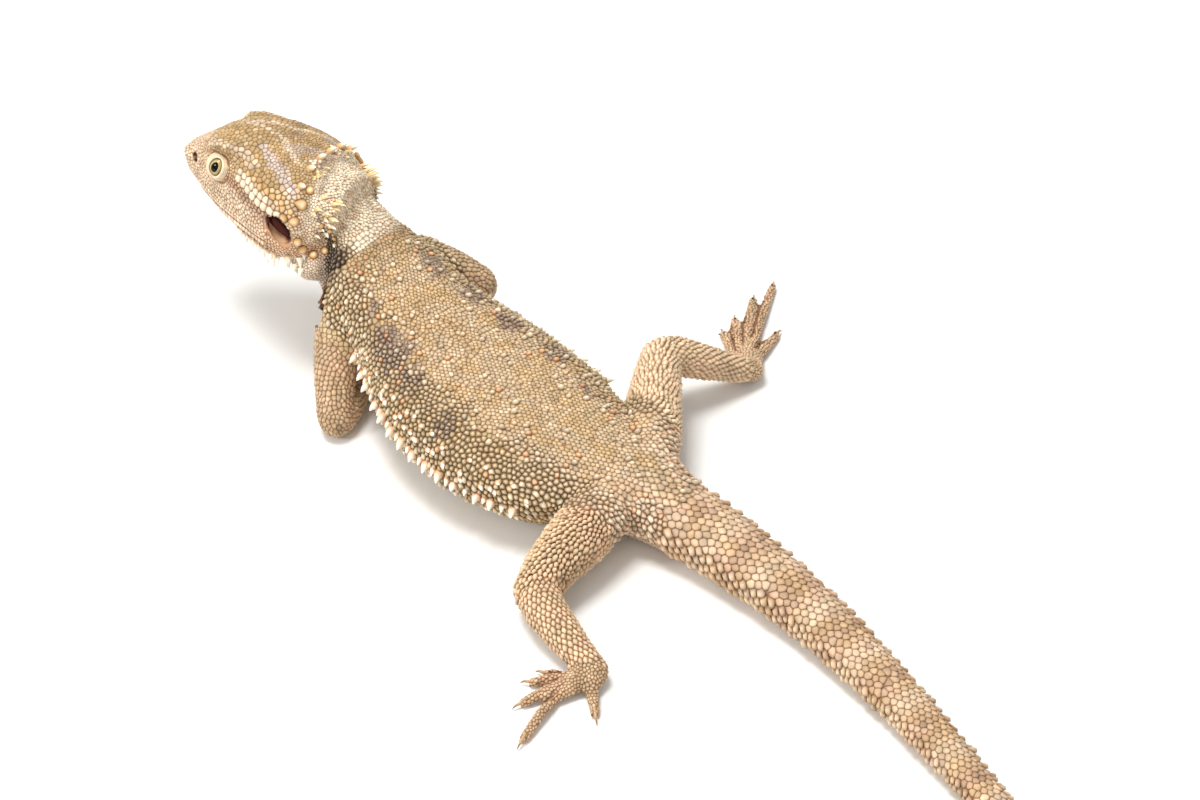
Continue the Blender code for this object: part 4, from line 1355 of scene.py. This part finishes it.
def spike_piece(name, spikes):
    """Curved cones; each has root, tip, radius, and colours at root and tip."""
    sides, levels = SPIKE_SIDES, SPIKE_LEVELS
    turn = full_turn(sides)
    one, after = ring_corners(sides)
    corners, colours, faces = [], [], []
    for root, tip, radius, low, high in spikes:
        along = tip - root
        length = np.linalg.norm(along)
        side = unit(np.cross(along, (0.3, 0.2, 1.0)))
        round_it = circle(turn, side, unit(np.cross(along, side)))
        first = len(corners) * sides
        for level in levels:
            middle = root + along * level + np.array((0, 0, 0.10 * length)) * math.sin(level * 3)
            width = radius * (1.15 if level < 0 else (1 - level) ** 0.75 + 0.03)
            corners.append(middle + round_it * width)
            colours.append(mixed(low, high, np.full(sides, np.clip(level * 1.6, 0, 1))))
        for i in range(len(levels) - 1):
            a = first + i * sides
            faces += [np.stack([a + one, a + after, a + sides + after], 1),
                      np.stack([a + one, a + sides + after, a + sides + one], 1)]
    piece = add_piece(name, np.vstack(corners), np.vstack(faces), np.vstack(colours),
                      painted("scale_horn"))
    roots = np.repeat([spike[0] for spike in spikes], len(levels) * sides, axis=0)
    uv, _ = the_sheets.uv(roots, parts.of(roots))
    spread = np.tile(np.stack([np.cos(turn), np.sin(turn)], 1), (len(levels) * len(spikes), 1))
    keep_map(piece.data, np.clip(uv + spread * PATCH * 0.5, 0, 1)[corners_of(piece.data)])
    return piece


SPINE_WHITE = tint(255, 246, 226)
# Small spines above and below a big one on the flank: degrees up and length
SMALL_SPINES = ((7, 1.7), (8, 1.8), (-8, 1.3), (14, 1.3))
BIG_SPINE = 4.0


def flank_spikes(found):
    """The big spines of the flanks, and smaller ones between and above them."""
    spikes = []
    rows = {1: [], -1: []}
    for name, root, tip in found:
        if name == "trunk":
            along, turn = body.round_about(root[None])
            rows[1 if turn[0] > 0 else -1].append((along[0], turn[0], root, tip))
    for side, row in rows.items():
        row.sort(key=lambda item: item[0])
        for i, (along, turn, root, tip) in enumerate(row):
            way = unit(unit(tip - root) + np.array((0, 0, 0.15)))
            spikes.append((root, root + way * BIG_SPINE, 1.3, ORANGE, SPINE_WHITE))
            if i + 1 < len(row):
                way = unit(tip - root)
                middle = (root + row[i + 1][2]) / 2
                place, _ = on_skin(middle)
                reach = random.uniform(2.3, 3.0)
                spikes.append((place, place + way * reach, 0.95, RUST, SPINE_WHITE))
            for lift, reach in SMALL_SPINES:
                spot, ahead = on_body(along + random.uniform(-2.2, 2.2),
                                      turn - side * math.radians(lift + random.uniform(-2, 2)))
                _, normal = on_skin(spot)
                way = unit(normal * 0.75 + ahead * 0.8)
                spikes.append((spot, spot + way * reach, 0.8, ORANGE, SPINE_WHITE))
    return spikes


# The row of spines along the beard, back and up on the side of the head
BEARD_ROW = ((0.56, -0.262), (0.66, -0.275), (0.76, -0.290), (0.86, -0.300), (0.95, -0.300),
             (1.03, -0.285))
SPINE_GOLD = tint(246, 226, 182)
SPINE_ROOT = tint(224, 184, 124)
# Spines behind the head: count on the left and right, corners of the patch, longest, colour
NAPE_PATCHES = ((14, 30, (1.08, 0.20, 0.00), (1.26, 0.32, 0.16), 3.2, SPINE_GOLD),
                (10, 14, (1.12, 0.24, -0.18), (1.20, 0.31, 0.00), 2.4, SPINE_WHITE),
                (12, 12, (1.02, 0.05, 0.20), (1.06, 0.24, 0.24), 1.4, SPINE_GOLD))


def head_spikes(found):
    """Spines of the nape and the beard."""
    spikes = []
    for name, root, tip in found:
        if name == "head":
            nape = in_head(root)[2] > 0.0
            radius, colour = (0.95, AMBER) if nape else (0.85, CREAM)
            spikes.append((root, tip, radius, colour, SPINE_WHITE))
    for side in (1, -1):
        curve = drawn_through(BEARD_ROW, 0.046)
        for i, (back, up) in enumerate(curve):
            place = cheek_place(back, up, side)
            _, normal = on_skin(place)
            way = unit(normal * 0.45 - HEAD[2] * 0.9 + HEAD[0] * 0.2)
            reach = 2.5 + 1.6 * math.sin(math.pi * (i + 0.5) / len(curve))
            spikes.append((place, place + way * reach, 0.95, CREAM, SPINE_WHITE))
            place = cheek_place(back + 0.02, up + 0.035, side)
            spikes.append((place, place + way * reach * 0.55, 0.70, RUST, SPINE_WHITE))
        for on_left, on_right, low, high, most, colour in NAPE_PATCHES:
            for _ in range(on_left if side > 0 else on_right):
                spot = np.array([random.uniform(a, b) for a, b in zip(low, high)])
                spot, normal = on_skin(head_place(spot[0], side * spot[1], spot[2]))
                way = unit(normal * 0.8 + HEAD[0] * 0.6)
                reach = random.uniform(0.45, 1.0) * most
                spikes.append((spot, spot + way * reach, 0.30 + 0.12 * reach, SPINE_ROOT, colour))
    return spikes


# ---------------------------------------------------------------- eyes

EYE_SIDES = 96
# Angles from the middle of the cornea
PUPIL = math.radians(21)
IRIS = math.radians(38)
LID_OPENING = math.radians(34)
LID_EDGE = math.radians(88)
# How wide and tall the pupil is against a round one
PUPIL_WIDE, PUPIL_TALL = 0.92, 1.35
# Rows of grains on an eyelid, and grains in a row
LID_ROWS = 7
LID_GRAINS = 46


def dome_rings(middle, out, back, up, angles, radii, sides):
    """Rings of corners about the outward direction, at angles from it and radii."""
    round_it = circle(full_turn(sides), back, up)
    rings = []
    for angle, radius in zip(angles, radii):
        angle = np.broadcast_to(angle, sides)[:, None]
        radius = np.broadcast_to(radius, sides)[:, None]
        rings.append(middle + (out * np.cos(angle) + round_it * np.sin(angle)) * radius)
    return np.array(rings)


def ring_faces(count, sides):
    """Quads between so many rings of corners."""
    one, after = ring_corners(sides)
    faces = []
    for i in range(count - 1):
        a = i * sides
        faces.append(np.stack([a + one, a + sides + one, a + sides + after, a + after], 1))
    return np.vstack(faces)


GOLD = tint(186, 160, 100)
GOLD_RIM = tint(60, 40, 22)
NEAR_PUPIL = tint(216, 202, 150)
BLACK = tint(6, 5, 5)
LID = tint(240, 222, 190)
LID_GROOVE = tint(168, 132, 96)
LID_SHADE = tint(70, 44, 28)


def eyeball(side):
    """A ball with a slightly bulging cornea, a golden iris and an upright pupil."""
    name = sided("eye", side)
    middle, out, back, up = eye_frame(side)
    sides = EYE_SIDES
    angles = np.concatenate([np.linspace(0.02, PUPIL, 8), np.linspace(PUPIL + 0.008, IRIS, 14),
                             np.linspace(IRIS + 0.02, 2.6, 16)])
    bulge = EYE_RADIUS * (1 + 0.05 * (1 - ramp(angles, 0.2, 0.9)))
    turn = full_turn(sides)
    tall = 1 / np.hypot(np.cos(turn) / PUPIL_WIDE, np.sin(turn) / PUPIL_TALL)
    stretched = [angle * (1 + (tall - 1) * (1 - ramp(angle, 0.9, 1.5))) for angle in angles]
    rings = dome_rings(middle, out, back, up, stretched, bulge, sides)
    colours = []
    streak = np.array([noise.noise(Vector((math.cos(t) * 9, math.sin(t) * 9, 3.0))) for t in turn])
    for angle in angles:
        share = (angle - PUPIL) / (IRIS - PUPIL)
        if share <= 0:
            ring = np.tile(BLACK, (sides, 1))
        elif share <= 1:
            ring = mixed(NEAR_PUPIL, GOLD, np.full(sides, ramp(share, 0.0, 0.25)))
            ring = mixed(ring, GOLD_RIM, np.clip(ramp(share, 0.55, 1.0) + 0.5 * streak, 0, 1))
        else:
            # beyond the iris the ball is painted near black as painted shade in the gap under the lids
            ring = np.tile(GOLD_RIM * 0.4, (sides, 1))
        colours.append(ring)
    ball = add_piece(name + "_ball", rings.reshape(-1, 3), ring_faces(len(angles), sides),
                     np.vstack(colours), eye_material())
    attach(ball, BODY)
    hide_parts(name)


def eyelids(side):
    """Granular skin over the eyeball, with a rounded lip round the opening."""
    name = sided("eyelids", side)
    middle, out, back, up = eye_frame(side)
    sides = LID_GRAINS * 6
    turn = full_turn(sides)
    shares = np.linspace(0, 1, LID_ROWS * 6)
    opening = LID_OPENING / np.hypot(np.cos(turn - 0.15), np.sin(turn - 0.15) / 1.45)
    angles, radii, grains = [], [], []
    for share in shares:
        row = math.floor(share * LID_ROWS)
        across = abs(math.sin(math.pi * share * LID_ROWS)) ** 0.6
        round_it = np.abs(np.sin(turn * LID_GRAINS / 2 + 0.5 * math.pi * (row % 2))) ** 0.6
        grain = across * round_it * float(ramp(share, 0.10, 0.2))
        lip = 0.04 + 0.50 * ramp(share, 0.0, 0.10) + 0.26 * ramp(share, 0.10, 0.6)
        lip = lip - 0.24 * bump(share, 0.60, 0.05) - 0.9 * ramp(share, 0.82, 1.0)
        angles.append(opening + (LID_EDGE - opening) * share)
        radii.append(EYE_RADIUS + lip + 0.14 * grain)
        grains.append(grain)
    rings = dome_rings(middle, out, back, up, angles, radii, sides)
    share = np.repeat(shares, sides)
    dark = np.maximum(1 - ramp(share, 0.01, 0.06), bump(share, 0.60, 0.035) * 0.75)
    colours = layered(LID_GROOVE, (LID, 0.45 + 0.55 * np.concatenate(grains)),
                      (LID, ramp(share, 0.03, 0.08) * (1 - ramp(share, 0.12, 0.18))),
                      (LID_SHADE, np.maximum(dark, ramp(share, 0.82, 0.92))))
    lids = add_piece(name, rings.reshape(-1, 3), ring_faces(len(angles), sides), colours,
                     painted("eyelid"))
    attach(lids, BODY)


# ---------------------------------------------------------------- claws

HORN = tint(196, 160, 122)
HORN_TIP = tint(128, 94, 66)
CLAW_SIDES = 10
CLAW_LEVELS = 14
# How far the horn runs on into the toe, and where the solid claw's rear starts, in its lengths
CLAW_INSIDE = -0.9
CLAW_BASE = 0.82
CLAW_THICKEST = 0.50


def claw_piece(name):
    """A finer curved claw in place of the plain one."""
    places, _ = solid(name)
    paw = "_".join(name.split("_")[1:3])
    tip = places[np.argmax(np.linalg.norm(places - centre_of(paw), axis=1))]
    far = np.linalg.norm(places - tip, axis=1)
    rear = places[far > far.max() * CLAW_BASE]
    base = rear.mean(axis=0)
    radius = min(CLAW_THICKEST, 0.45 * np.ptp(rear, axis=0).max())
    along = tip - base
    length = np.linalg.norm(along)
    side = unit(np.cross(along, (0, 0, 1)))
    up = np.cross(side, unit(along))
    sides, levels = CLAW_SIDES, np.linspace(CLAW_INSIDE, 1, CLAW_LEVELS)
    round_it = circle(full_turn(sides), side * 0.72, up)
    rings = []
    for level in levels:
        middle = base + along * level + up * (0.16 * length * math.sin(math.pi * max(level, 0)))
        width = radius * (1 - max(level, 0) ** 1.25 * 0.94)
        rings.append(middle + width * round_it)
    corners = np.vstack(rings + [tip[None]])
    corners[:, 2] = np.maximum(corners[:, 2], MARGIN)
    last = (len(levels) - 1) * sides
    one, after = ring_corners(sides)
    cap = np.stack([last + one, last + after, np.full(sides, len(corners) - 1)], 1)
    quads = ring_faces(len(levels), sides)[:, ::-1]
    faces = np.vstack([quads[:, [0, 1, 2]], quads[:, [0, 2, 3]], cap])
    share = np.append(np.repeat(np.clip(levels, 0, 1), sides), 1.0)
    claw = add_piece(name + "_horn", corners, faces, mixed(HORN, HORN_TIP, ramp(share, 0.1, 0.8)),
                     painted("claw_horn", 0.35, grain=900.0, mottle=700.0, lift=0.15))
    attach(claw, BODY)
    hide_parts(name)


# ---------------------------------------------------------------- materials

MATERIALS = {}


def add_node(material, kind, **values):
    """A shader node with values on its sockets; an underscore stands for a space."""
    node = material.node_tree.nodes.new("ShaderNode" + kind)
    for socket, value in values.items():
        node.inputs[socket.replace("_", " ")].default_value = value
    return node


def grained(name, roughness, grain, lift, distance):
    """A dull material with a fine grain in its surface; its place and shader nodes too."""
    material = bpy.data.materials.new(name)
    material.use_nodes = True
    shader = material.node_tree.nodes["Principled BSDF"]
    shader.inputs["Roughness"].default_value = roughness
    shader.inputs["Specular IOR Level"].default_value = 0.2
    where = add_node(material, "TexCoord")
    fine = add_node(material, "TexNoise", Scale=grain, Detail=2)
    relief = add_node(material, "Bump", Strength=lift, Distance=distance)
    links = material.node_tree.links
    links.new(where.outputs["Object"], fine.inputs["Vector"])
    links.new(fine.outputs["Fac"], relief.inputs["Height"])
    links.new(relief.outputs["Normal"], shader.inputs["Normal"])
    return material, where, shader


def painted(name, roughness=0.55, grain=2600.0, mottle=420.0, lift=0.35):
    """The painted corners' colour with a fine mottle, and a fine grain in the surface."""
    if name in MATERIALS:
        return MATERIALS[name]
    material, where, shader = grained(name, roughness, grain, lift, 0.00012)
    paint = add_node(material, "Attribute")
    paint.attribute_name = "coat"
    blots = add_node(material, "TexNoise", Scale=mottle, Detail=4)
    span = add_node(material, "MapRange", From_Min=0.3, From_Max=0.7, To_Min=0.80, To_Max=1.14)
    shade = add_node(material, "VectorMath")
    shade.operation = "SCALE"
    links = material.node_tree.links
    links.new(where.outputs["Object"], blots.inputs["Vector"])
    links.new(blots.outputs["Fac"], span.inputs["Value"])
    links.new(paint.outputs["Color"], shade.inputs[0])
    links.new(span.outputs["Result"], shade.inputs["Scale"])
    links.new(shade.outputs["Vector"], shader.inputs["Base Color"])
    MATERIALS[name] = material
    return material


def eye_material():
    """A wet eye: painted iris under a clear coat."""
    material = painted("eye", 0.25, grain=1800.0, mottle=2400.0, lift=0.05)
    shader = material.node_tree.nodes["Principled BSDF"]
    shader.inputs["Specular IOR Level"].default_value = 0.0
    shader.inputs["Coat Weight"].default_value = 1.0
    shader.inputs["Coat IOR"].default_value = 1.3
    shader.inputs["Coat Roughness"].default_value = 0.03
    return material


# ---------------------------------------------------------------- stage

# The paper's mottle runs between these
PAPER_LOW = (0.885, 0.885, 0.865, 1)
PAPER_HIGH = (0.915, 0.915, 0.895, 1)


def paper():
    """Pale backdrop paper with a faint mottle and a fine tooth."""
    material, where, shader = grained("floor_paper", 0.9, 1400.0, 0.06, 0.0001)
    blots = add_node(material, "TexNoise", Scale=14.0, Detail=6)
    colour = add_node(material, "Mix")
    colour.data_type = "RGBA"
    colour.inputs["A"].default_value = PAPER_LOW
    colour.inputs["B"].default_value = PAPER_HIGH
    links = material.node_tree.links
    links.new(where.outputs["Object"], blots.inputs["Vector"])
    links.new(blots.outputs["Fac"], colour.inputs["Factor"])
    links.new(colour.outputs["Result"], shader.inputs["Base Color"])
    return material


# From the aim to the camera: the turn from -Y, the rise, the distance in metres, the lens, and
# the aim as shares of the trunk's box
CAMERA_TURN = math.radians(134)
CAMERA_RISE = math.radians(42)
CAMERA_AWAY = 0.736
CAMERA_LENS = 85
CAMERA_AIM = (0.1238, 0.6247, 0.3158)


def add_camera():
    """The camera at the model's three-quarter view from behind and above its left side."""
    low, high = (np.array(corner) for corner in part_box("trunk"))
    aim = Vector(low + (high - low) * CAMERA_AIM)
    back = Vector((math.sin(CAMERA_TURN) * math.cos(CAMERA_RISE),
                   -math.cos(CAMERA_TURN) * math.cos(CAMERA_RISE), math.sin(CAMERA_RISE)))
    camera = bpy.data.objects.new("camera", bpy.data.cameras.new("camera"))
    camera.data.lens = CAMERA_LENS
    camera.data.sensor_width = 36
    camera.location = aim + back * CAMERA_AWAY
    camera.rotation_euler = (-back).to_track_quat("-Z", "Y").to_euler()
    bpy.context.scene.collection.objects.link(camera)
    bpy.context.scene.camera = camera


# In metres
FLOOR_REACH = 3.0


def add_floor():
    """A wide pale floor."""
    mesh = bpy.data.meshes.new("floor")
    corners = [(x * FLOOR_REACH, y * FLOOR_REACH, 0) for x, y in ((-1, -1), (1, -1), (1, 1), (-1, 1))]
    mesh.from_pydata(corners, [], [(0, 1, 2, 3)])
    floor = new_object("floor", mesh)
    mesh.materials.append(paper())


# Soft lights: place and size in metres, power in watts
LIGHTS = {"key": ((0.10, -0.20, 1.12), 0.40, 10), "fill": ((0.9, 0.5, 0.9), 1.2, 3),
          "glint": ((0.9, -0.35, 0.65), 0.20, 4)}


def add_light(name, place, size, power):
    """A square soft light that shines on the origin."""
    lamp = bpy.data.lights.new(name, "AREA")
    lamp.size = size
    lamp.energy = power
    light = bpy.data.objects.new(name, lamp)
    light.location = place
    light.rotation_euler = Vector(place).to_track_quat("Z", "Y").to_euler()
    bpy.context.scene.collection.objects.link(light)


def add_world():
    """Even white light from all round."""
    world = bpy.data.worlds.new("world")
    world.use_nodes = True
    background = world.node_tree.nodes["Background"]
    background.inputs["Color"].default_value = (1, 1, 1, 1)
    background.inputs["Strength"].default_value = 0.5
    bpy.context.scene.world = world


# ---------------------------------------------------------------- the coat

# Where the rows on the back start
BACK_FROM = 6
ARM_SCALE, SHANK_SCALE = 1.4, 1.45
# How far scales stray from their places, and how uneven they are, in sizes
STRAY = 0.09
UNEVEN = 0.07


def coat_roots():
    """Every scale's root on the skin: the named ones first, then rows, then strewn ones."""
    roots = Roots()
    head_roots(roots)
    warts(roots)
    first = sum(len(places) for places in roots.places)
    rows_round(roots, body, ("trunk",), back_scale_size, "back", start=BACK_FROM, end=tail_start,
               free=(FLANK_FROM, FLANK_TO + 0.2))
    rows_round(roots, body, ("tail",), tail_scale_size, "tail", start=tail_start)
    for line, names in limbs:
        if "thigh" in names[0]:
            rows_round(roots, line, names[1:2], lambda distance: SHANK_SCALE, "leg")
        else:
            rows_round(roots, line, names[:2], lambda distance: ARM_SCALE, "arm")
    in_rows = sum(len(places) for places in roots.places)
    roots.add(surface.places, free_scale_size(surface.places, owner), lie_field,
              free_kinds(surface.places, owner))
    places, sizes, lies, kinds = roots.joined()
    stray = random.normal(0, 1, places.shape) * sizes[:, None] * STRAY
    stray[:first] = 0
    places = places + stray
    sizes = sizes * np.concatenate([np.ones(first),
                                    np.exp(random.normal(0, UNEVEN, len(sizes) - first))])
    kept = spaced_out(places, sizes, in_rows)
    fixed = kept < in_rows
    return relaxed(places[kept], sizes[kept], fixed), sizes[kept], lies[kept], kinds[kept]


def lies_of(places, own):
    """The way the scales lie: from the snout to the tail's tip, and down each limb."""
    lies = np.tile(HEAD[0], (len(places), 1))
    here = within(own, "neck", "trunk", "tail")
    along, _ = body.round_about(places[here])
    lies[here] = [body.direction(distance) for distance in along]
    for line, names in limbs:
        here = within(own, *names[:2])
        along, _ = line.round_about(places[here])
        lies[here] = [line.direction(distance) for distance in along]
        here = within(own, names[2])
        claws = np.array([centre_of(claw) for claw in CLAWS if names[2] in claw])
        wrist = line.points[-1]
        ways = unit(claws - wrist)
        nearest = np.argmax(unit(places[here] - wrist) @ ways.T, axis=1)
        lies[here] = ways[nearest]
    return lies


def region_kinds(kinds, places, own):
    """Flank grains and belly scales by how far round they stand, and none where it is bare."""
    _, turn = body.round_about(places)
    turn = np.abs(turn)
    back = kinds == KIND_NAMES.index("back")
    kinds = kinds.copy()
    kinds[bare_share(places, own) > 0.5] = KIND_NAMES.index("gap")
    ragged = FLANK_FROM + 0.5 * (cloud(places, 6.0, 90) - 0.5) + random.normal(0, 0.06, len(turn))
    kinds[back & (turn > ragged)] = KIND_NAMES.index("flank")
    kinds[back & (turn > FLANK_TO)] = KIND_NAMES.index("belly")
    edge_of_tail(kinds, places)
    return kinds


def make_coat():
    """The scales' places, forms and colours."""
    places, sizes, lies, kinds = coat_roots()
    places, normals = surface.nearest(places)
    lies = unit(lies - normals * np.einsum("ij,ij->i", lies, normals)[:, None])
    own = parts.of(places)
    kinds = region_kinds(kinds, places, own)
    made = {"place": places, "normal": normals, "lie": lies, "size": sizes, "own": own,
            "kind": kinds}
    for sides in (FINE, BOLD):
        made[sides] = cells(places, normals, lies, sizes, sides)
    made["form"] = np.array([KINDS[name].form for name in KIND_NAMES])[kinds]
    made["uv"], _ = the_sheets.uv(places, own)
    colour = markings(places, own)
    for number, name in enumerate(KIND_NAMES):
        if KINDS[name].colour is not None:
            here = kinds == number
            share = np.full(here.sum(), KINDS[name].dye)
            colour[here] = mixed(colour[here], KINDS[name].colour, share)
    along, turn = body.round_about(places)
    on_trunk = within(own, "trunk", "neck")
    deep = on_trunk * ramp(np.abs(turn), FLANK_FROM - 0.35, FLANK_FROM + 0.35)
    deep = deep * (1 - ramp(along, tail_start - 26, tail_start - 12))
    nape = within(own, "neck") * (1 - ramp(np.abs(np.degrees(turn)), 50, 70))
    made["dark"] = layered(GROOVE, (DEEP_GROOVE, deep),
                           (colour * 0.4, 0.25 + 0.35 * on_trunk * (1 - deep)),
                           (colour * 0.65, nape * 0.8))
    made["colour"] = colour * np.exp(random.normal(0, 0.10, (len(places), 1)))
    return made


# Corners round a scale
FINE, BOLD = 8, 12
# The flesh that each region covers, its slot, and its scales' corners
REGIONS = {"head": (("head", "jaw"), "skin_body", BOLD),
           "back": (("neck", "trunk"), "skin_body", FINE),
           "tail": (("tail",), "skin_tail", BOLD),
           "arms": (("upper_arm", "forearm"), "skin_legs", BOLD),
           "legs": (("thigh", "shank"), "skin_legs", BOLD),
           "paws": (("hand", "foot"), "skin_legs", FINE)}
MOST_TRIANGLES = 190000


def add_scales():
    """The scales of each region, in pieces of no more than so many triangles."""
    for region, (names, slot, sides) in REGIONS.items():
        here = np.flatnonzero(within(coat["own"], *names)
                              & (coat["kind"] != KIND_NAMES.index("gap")))
        here = here[np.argsort(coat["place"][here, 1], kind="stable")]
        pieces = -(-len(here) * 5 * sides // MOST_TRIANGLES)
        for i, pick in enumerate(np.array_split(here, pieces)):
            piece = scale_piece(f"scales_{region}_{i + 1}", pick, sides)
            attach(piece, BODY)


def add_skin():
    """The skin in the colour of the grooves, with the markings where no scale covers it."""
    skin = skin_piece()
    places = places_of(skin.data)
    own = parts.of(places)
    share = 0.25 + 0.75 * bare_share(places, own)
    paint_corners(skin.data, mixed(GROOVE, markings(places, own), share))
    unwrap_skin(skin.data)
    skin.data.materials.append(painted("skin"))
    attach(skin, BODY)
    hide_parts(*FLESH)


# Half the length and half the width of an ear's floor, and its height in the middle
EAR_REACH = 4.2
EAR_WIDTH = 1.5
EAR_RISE = 0.9


def eardrum(side):
    """The dark floor of an ear, long and narrow, in place of the plain one."""
    name = sided("eardrum", side)
    first, last = (head_place(back, 0.4 * side, up) for back, up in side_view(EAR_HOLLOW)[[0, -1]])
    out = unit(HEAD[1] * side + HEAD[0] * 0.1)
    long = unit(last - first)
    long = unit(long - out * (long @ out))
    across = np.cross(out, long)
    middle = centre_of(name)
    shift = (first + last) / 2 - middle
    middle = middle + long * (shift @ long) + across * (shift @ across)
    sides = 48
    round_it = circle(full_turn(sides), long * EAR_REACH, across * EAR_WIDTH)
    shares = np.linspace(0.02, 1, 12)
    rings = []
    for share in shares:
        height = EAR_RISE * math.sqrt(1 - min(share, 0.999) ** 2)
        rings.append(middle + out * height + share * round_it)
    # The floor is painted darker towards its rim as painted shade where it meets the hollow's walls.
    edge = ramp(np.repeat(shares, sides), 0.5, 1.0)
    drum = add_piece(name + "_lining", np.vstack(rings), ring_faces(len(shares), sides),
                     mixed(MAROON, MAROON * 0.4, edge),
                     painted("eardrum", 0.6, grain=1500.0, mottle=600.0, lift=0.2))
    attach(drum, BODY)
    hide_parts(name)


def unwrap_lines():
    """The line and the mean radius that each part of the skin is rolled off round."""
    skull = Line([head_place(0.0, 0.0, -0.03), head_place(1.2, 0.0, -0.03)], up=HEAD[2])
    lines = {"head": (skull, 13.0), "jaw": (skull, 13.0), "neck": (body, 12.0),
             "trunk": (body, 22.0)}
    for i, name in enumerate(TAIL):
        lines[name] = (body, 9.0 - 1.6 * i)
    for line, chain in limbs:
        for name in chain:
            lines[name] = (line, 5.5)
    return lines


# ---------------------------------------------------------------- the build

parts = Parts()
surface, spines = make_surface(parts)
owner = parts.of(surface.places)
body = body_line()
tail_start = body.round_about(joint("trunk", "tail_1")[None])[0][0]
limbs = []
for side in (1, -1):
    for limb in (("upper_arm", "forearm", "hand"), ("thigh", "shank", "foot")):
        chain = tuple(sided(start, side) for start in limb)
        limbs.append((limb_line(*chain), chain))
lie_field = unit(spread_out(lies_of(surface.places, owner), surface.faces, 30))
the_sheets = Sheets(unwrap_lines())
coat = make_coat()

add_skin()
add_scales()
for piece in (spike_piece("spines_flank", flank_spikes(spines)),
              spike_piece("spines_head", head_spikes(spines))):
    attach(piece, BODY)
for side_sign in (1, -1):
    eardrum(side_sign)
    eyeball(side_sign)
    eyelids(side_sign)
for claw_name in CLAWS:
    claw_piece(claw_name)
add_floor()
add_camera()
for light_name, light_form in LIGHTS.items():
    add_light(light_name, *light_form)
add_world()
bpy.context.scene.view_settings.view_transform = "Standard"
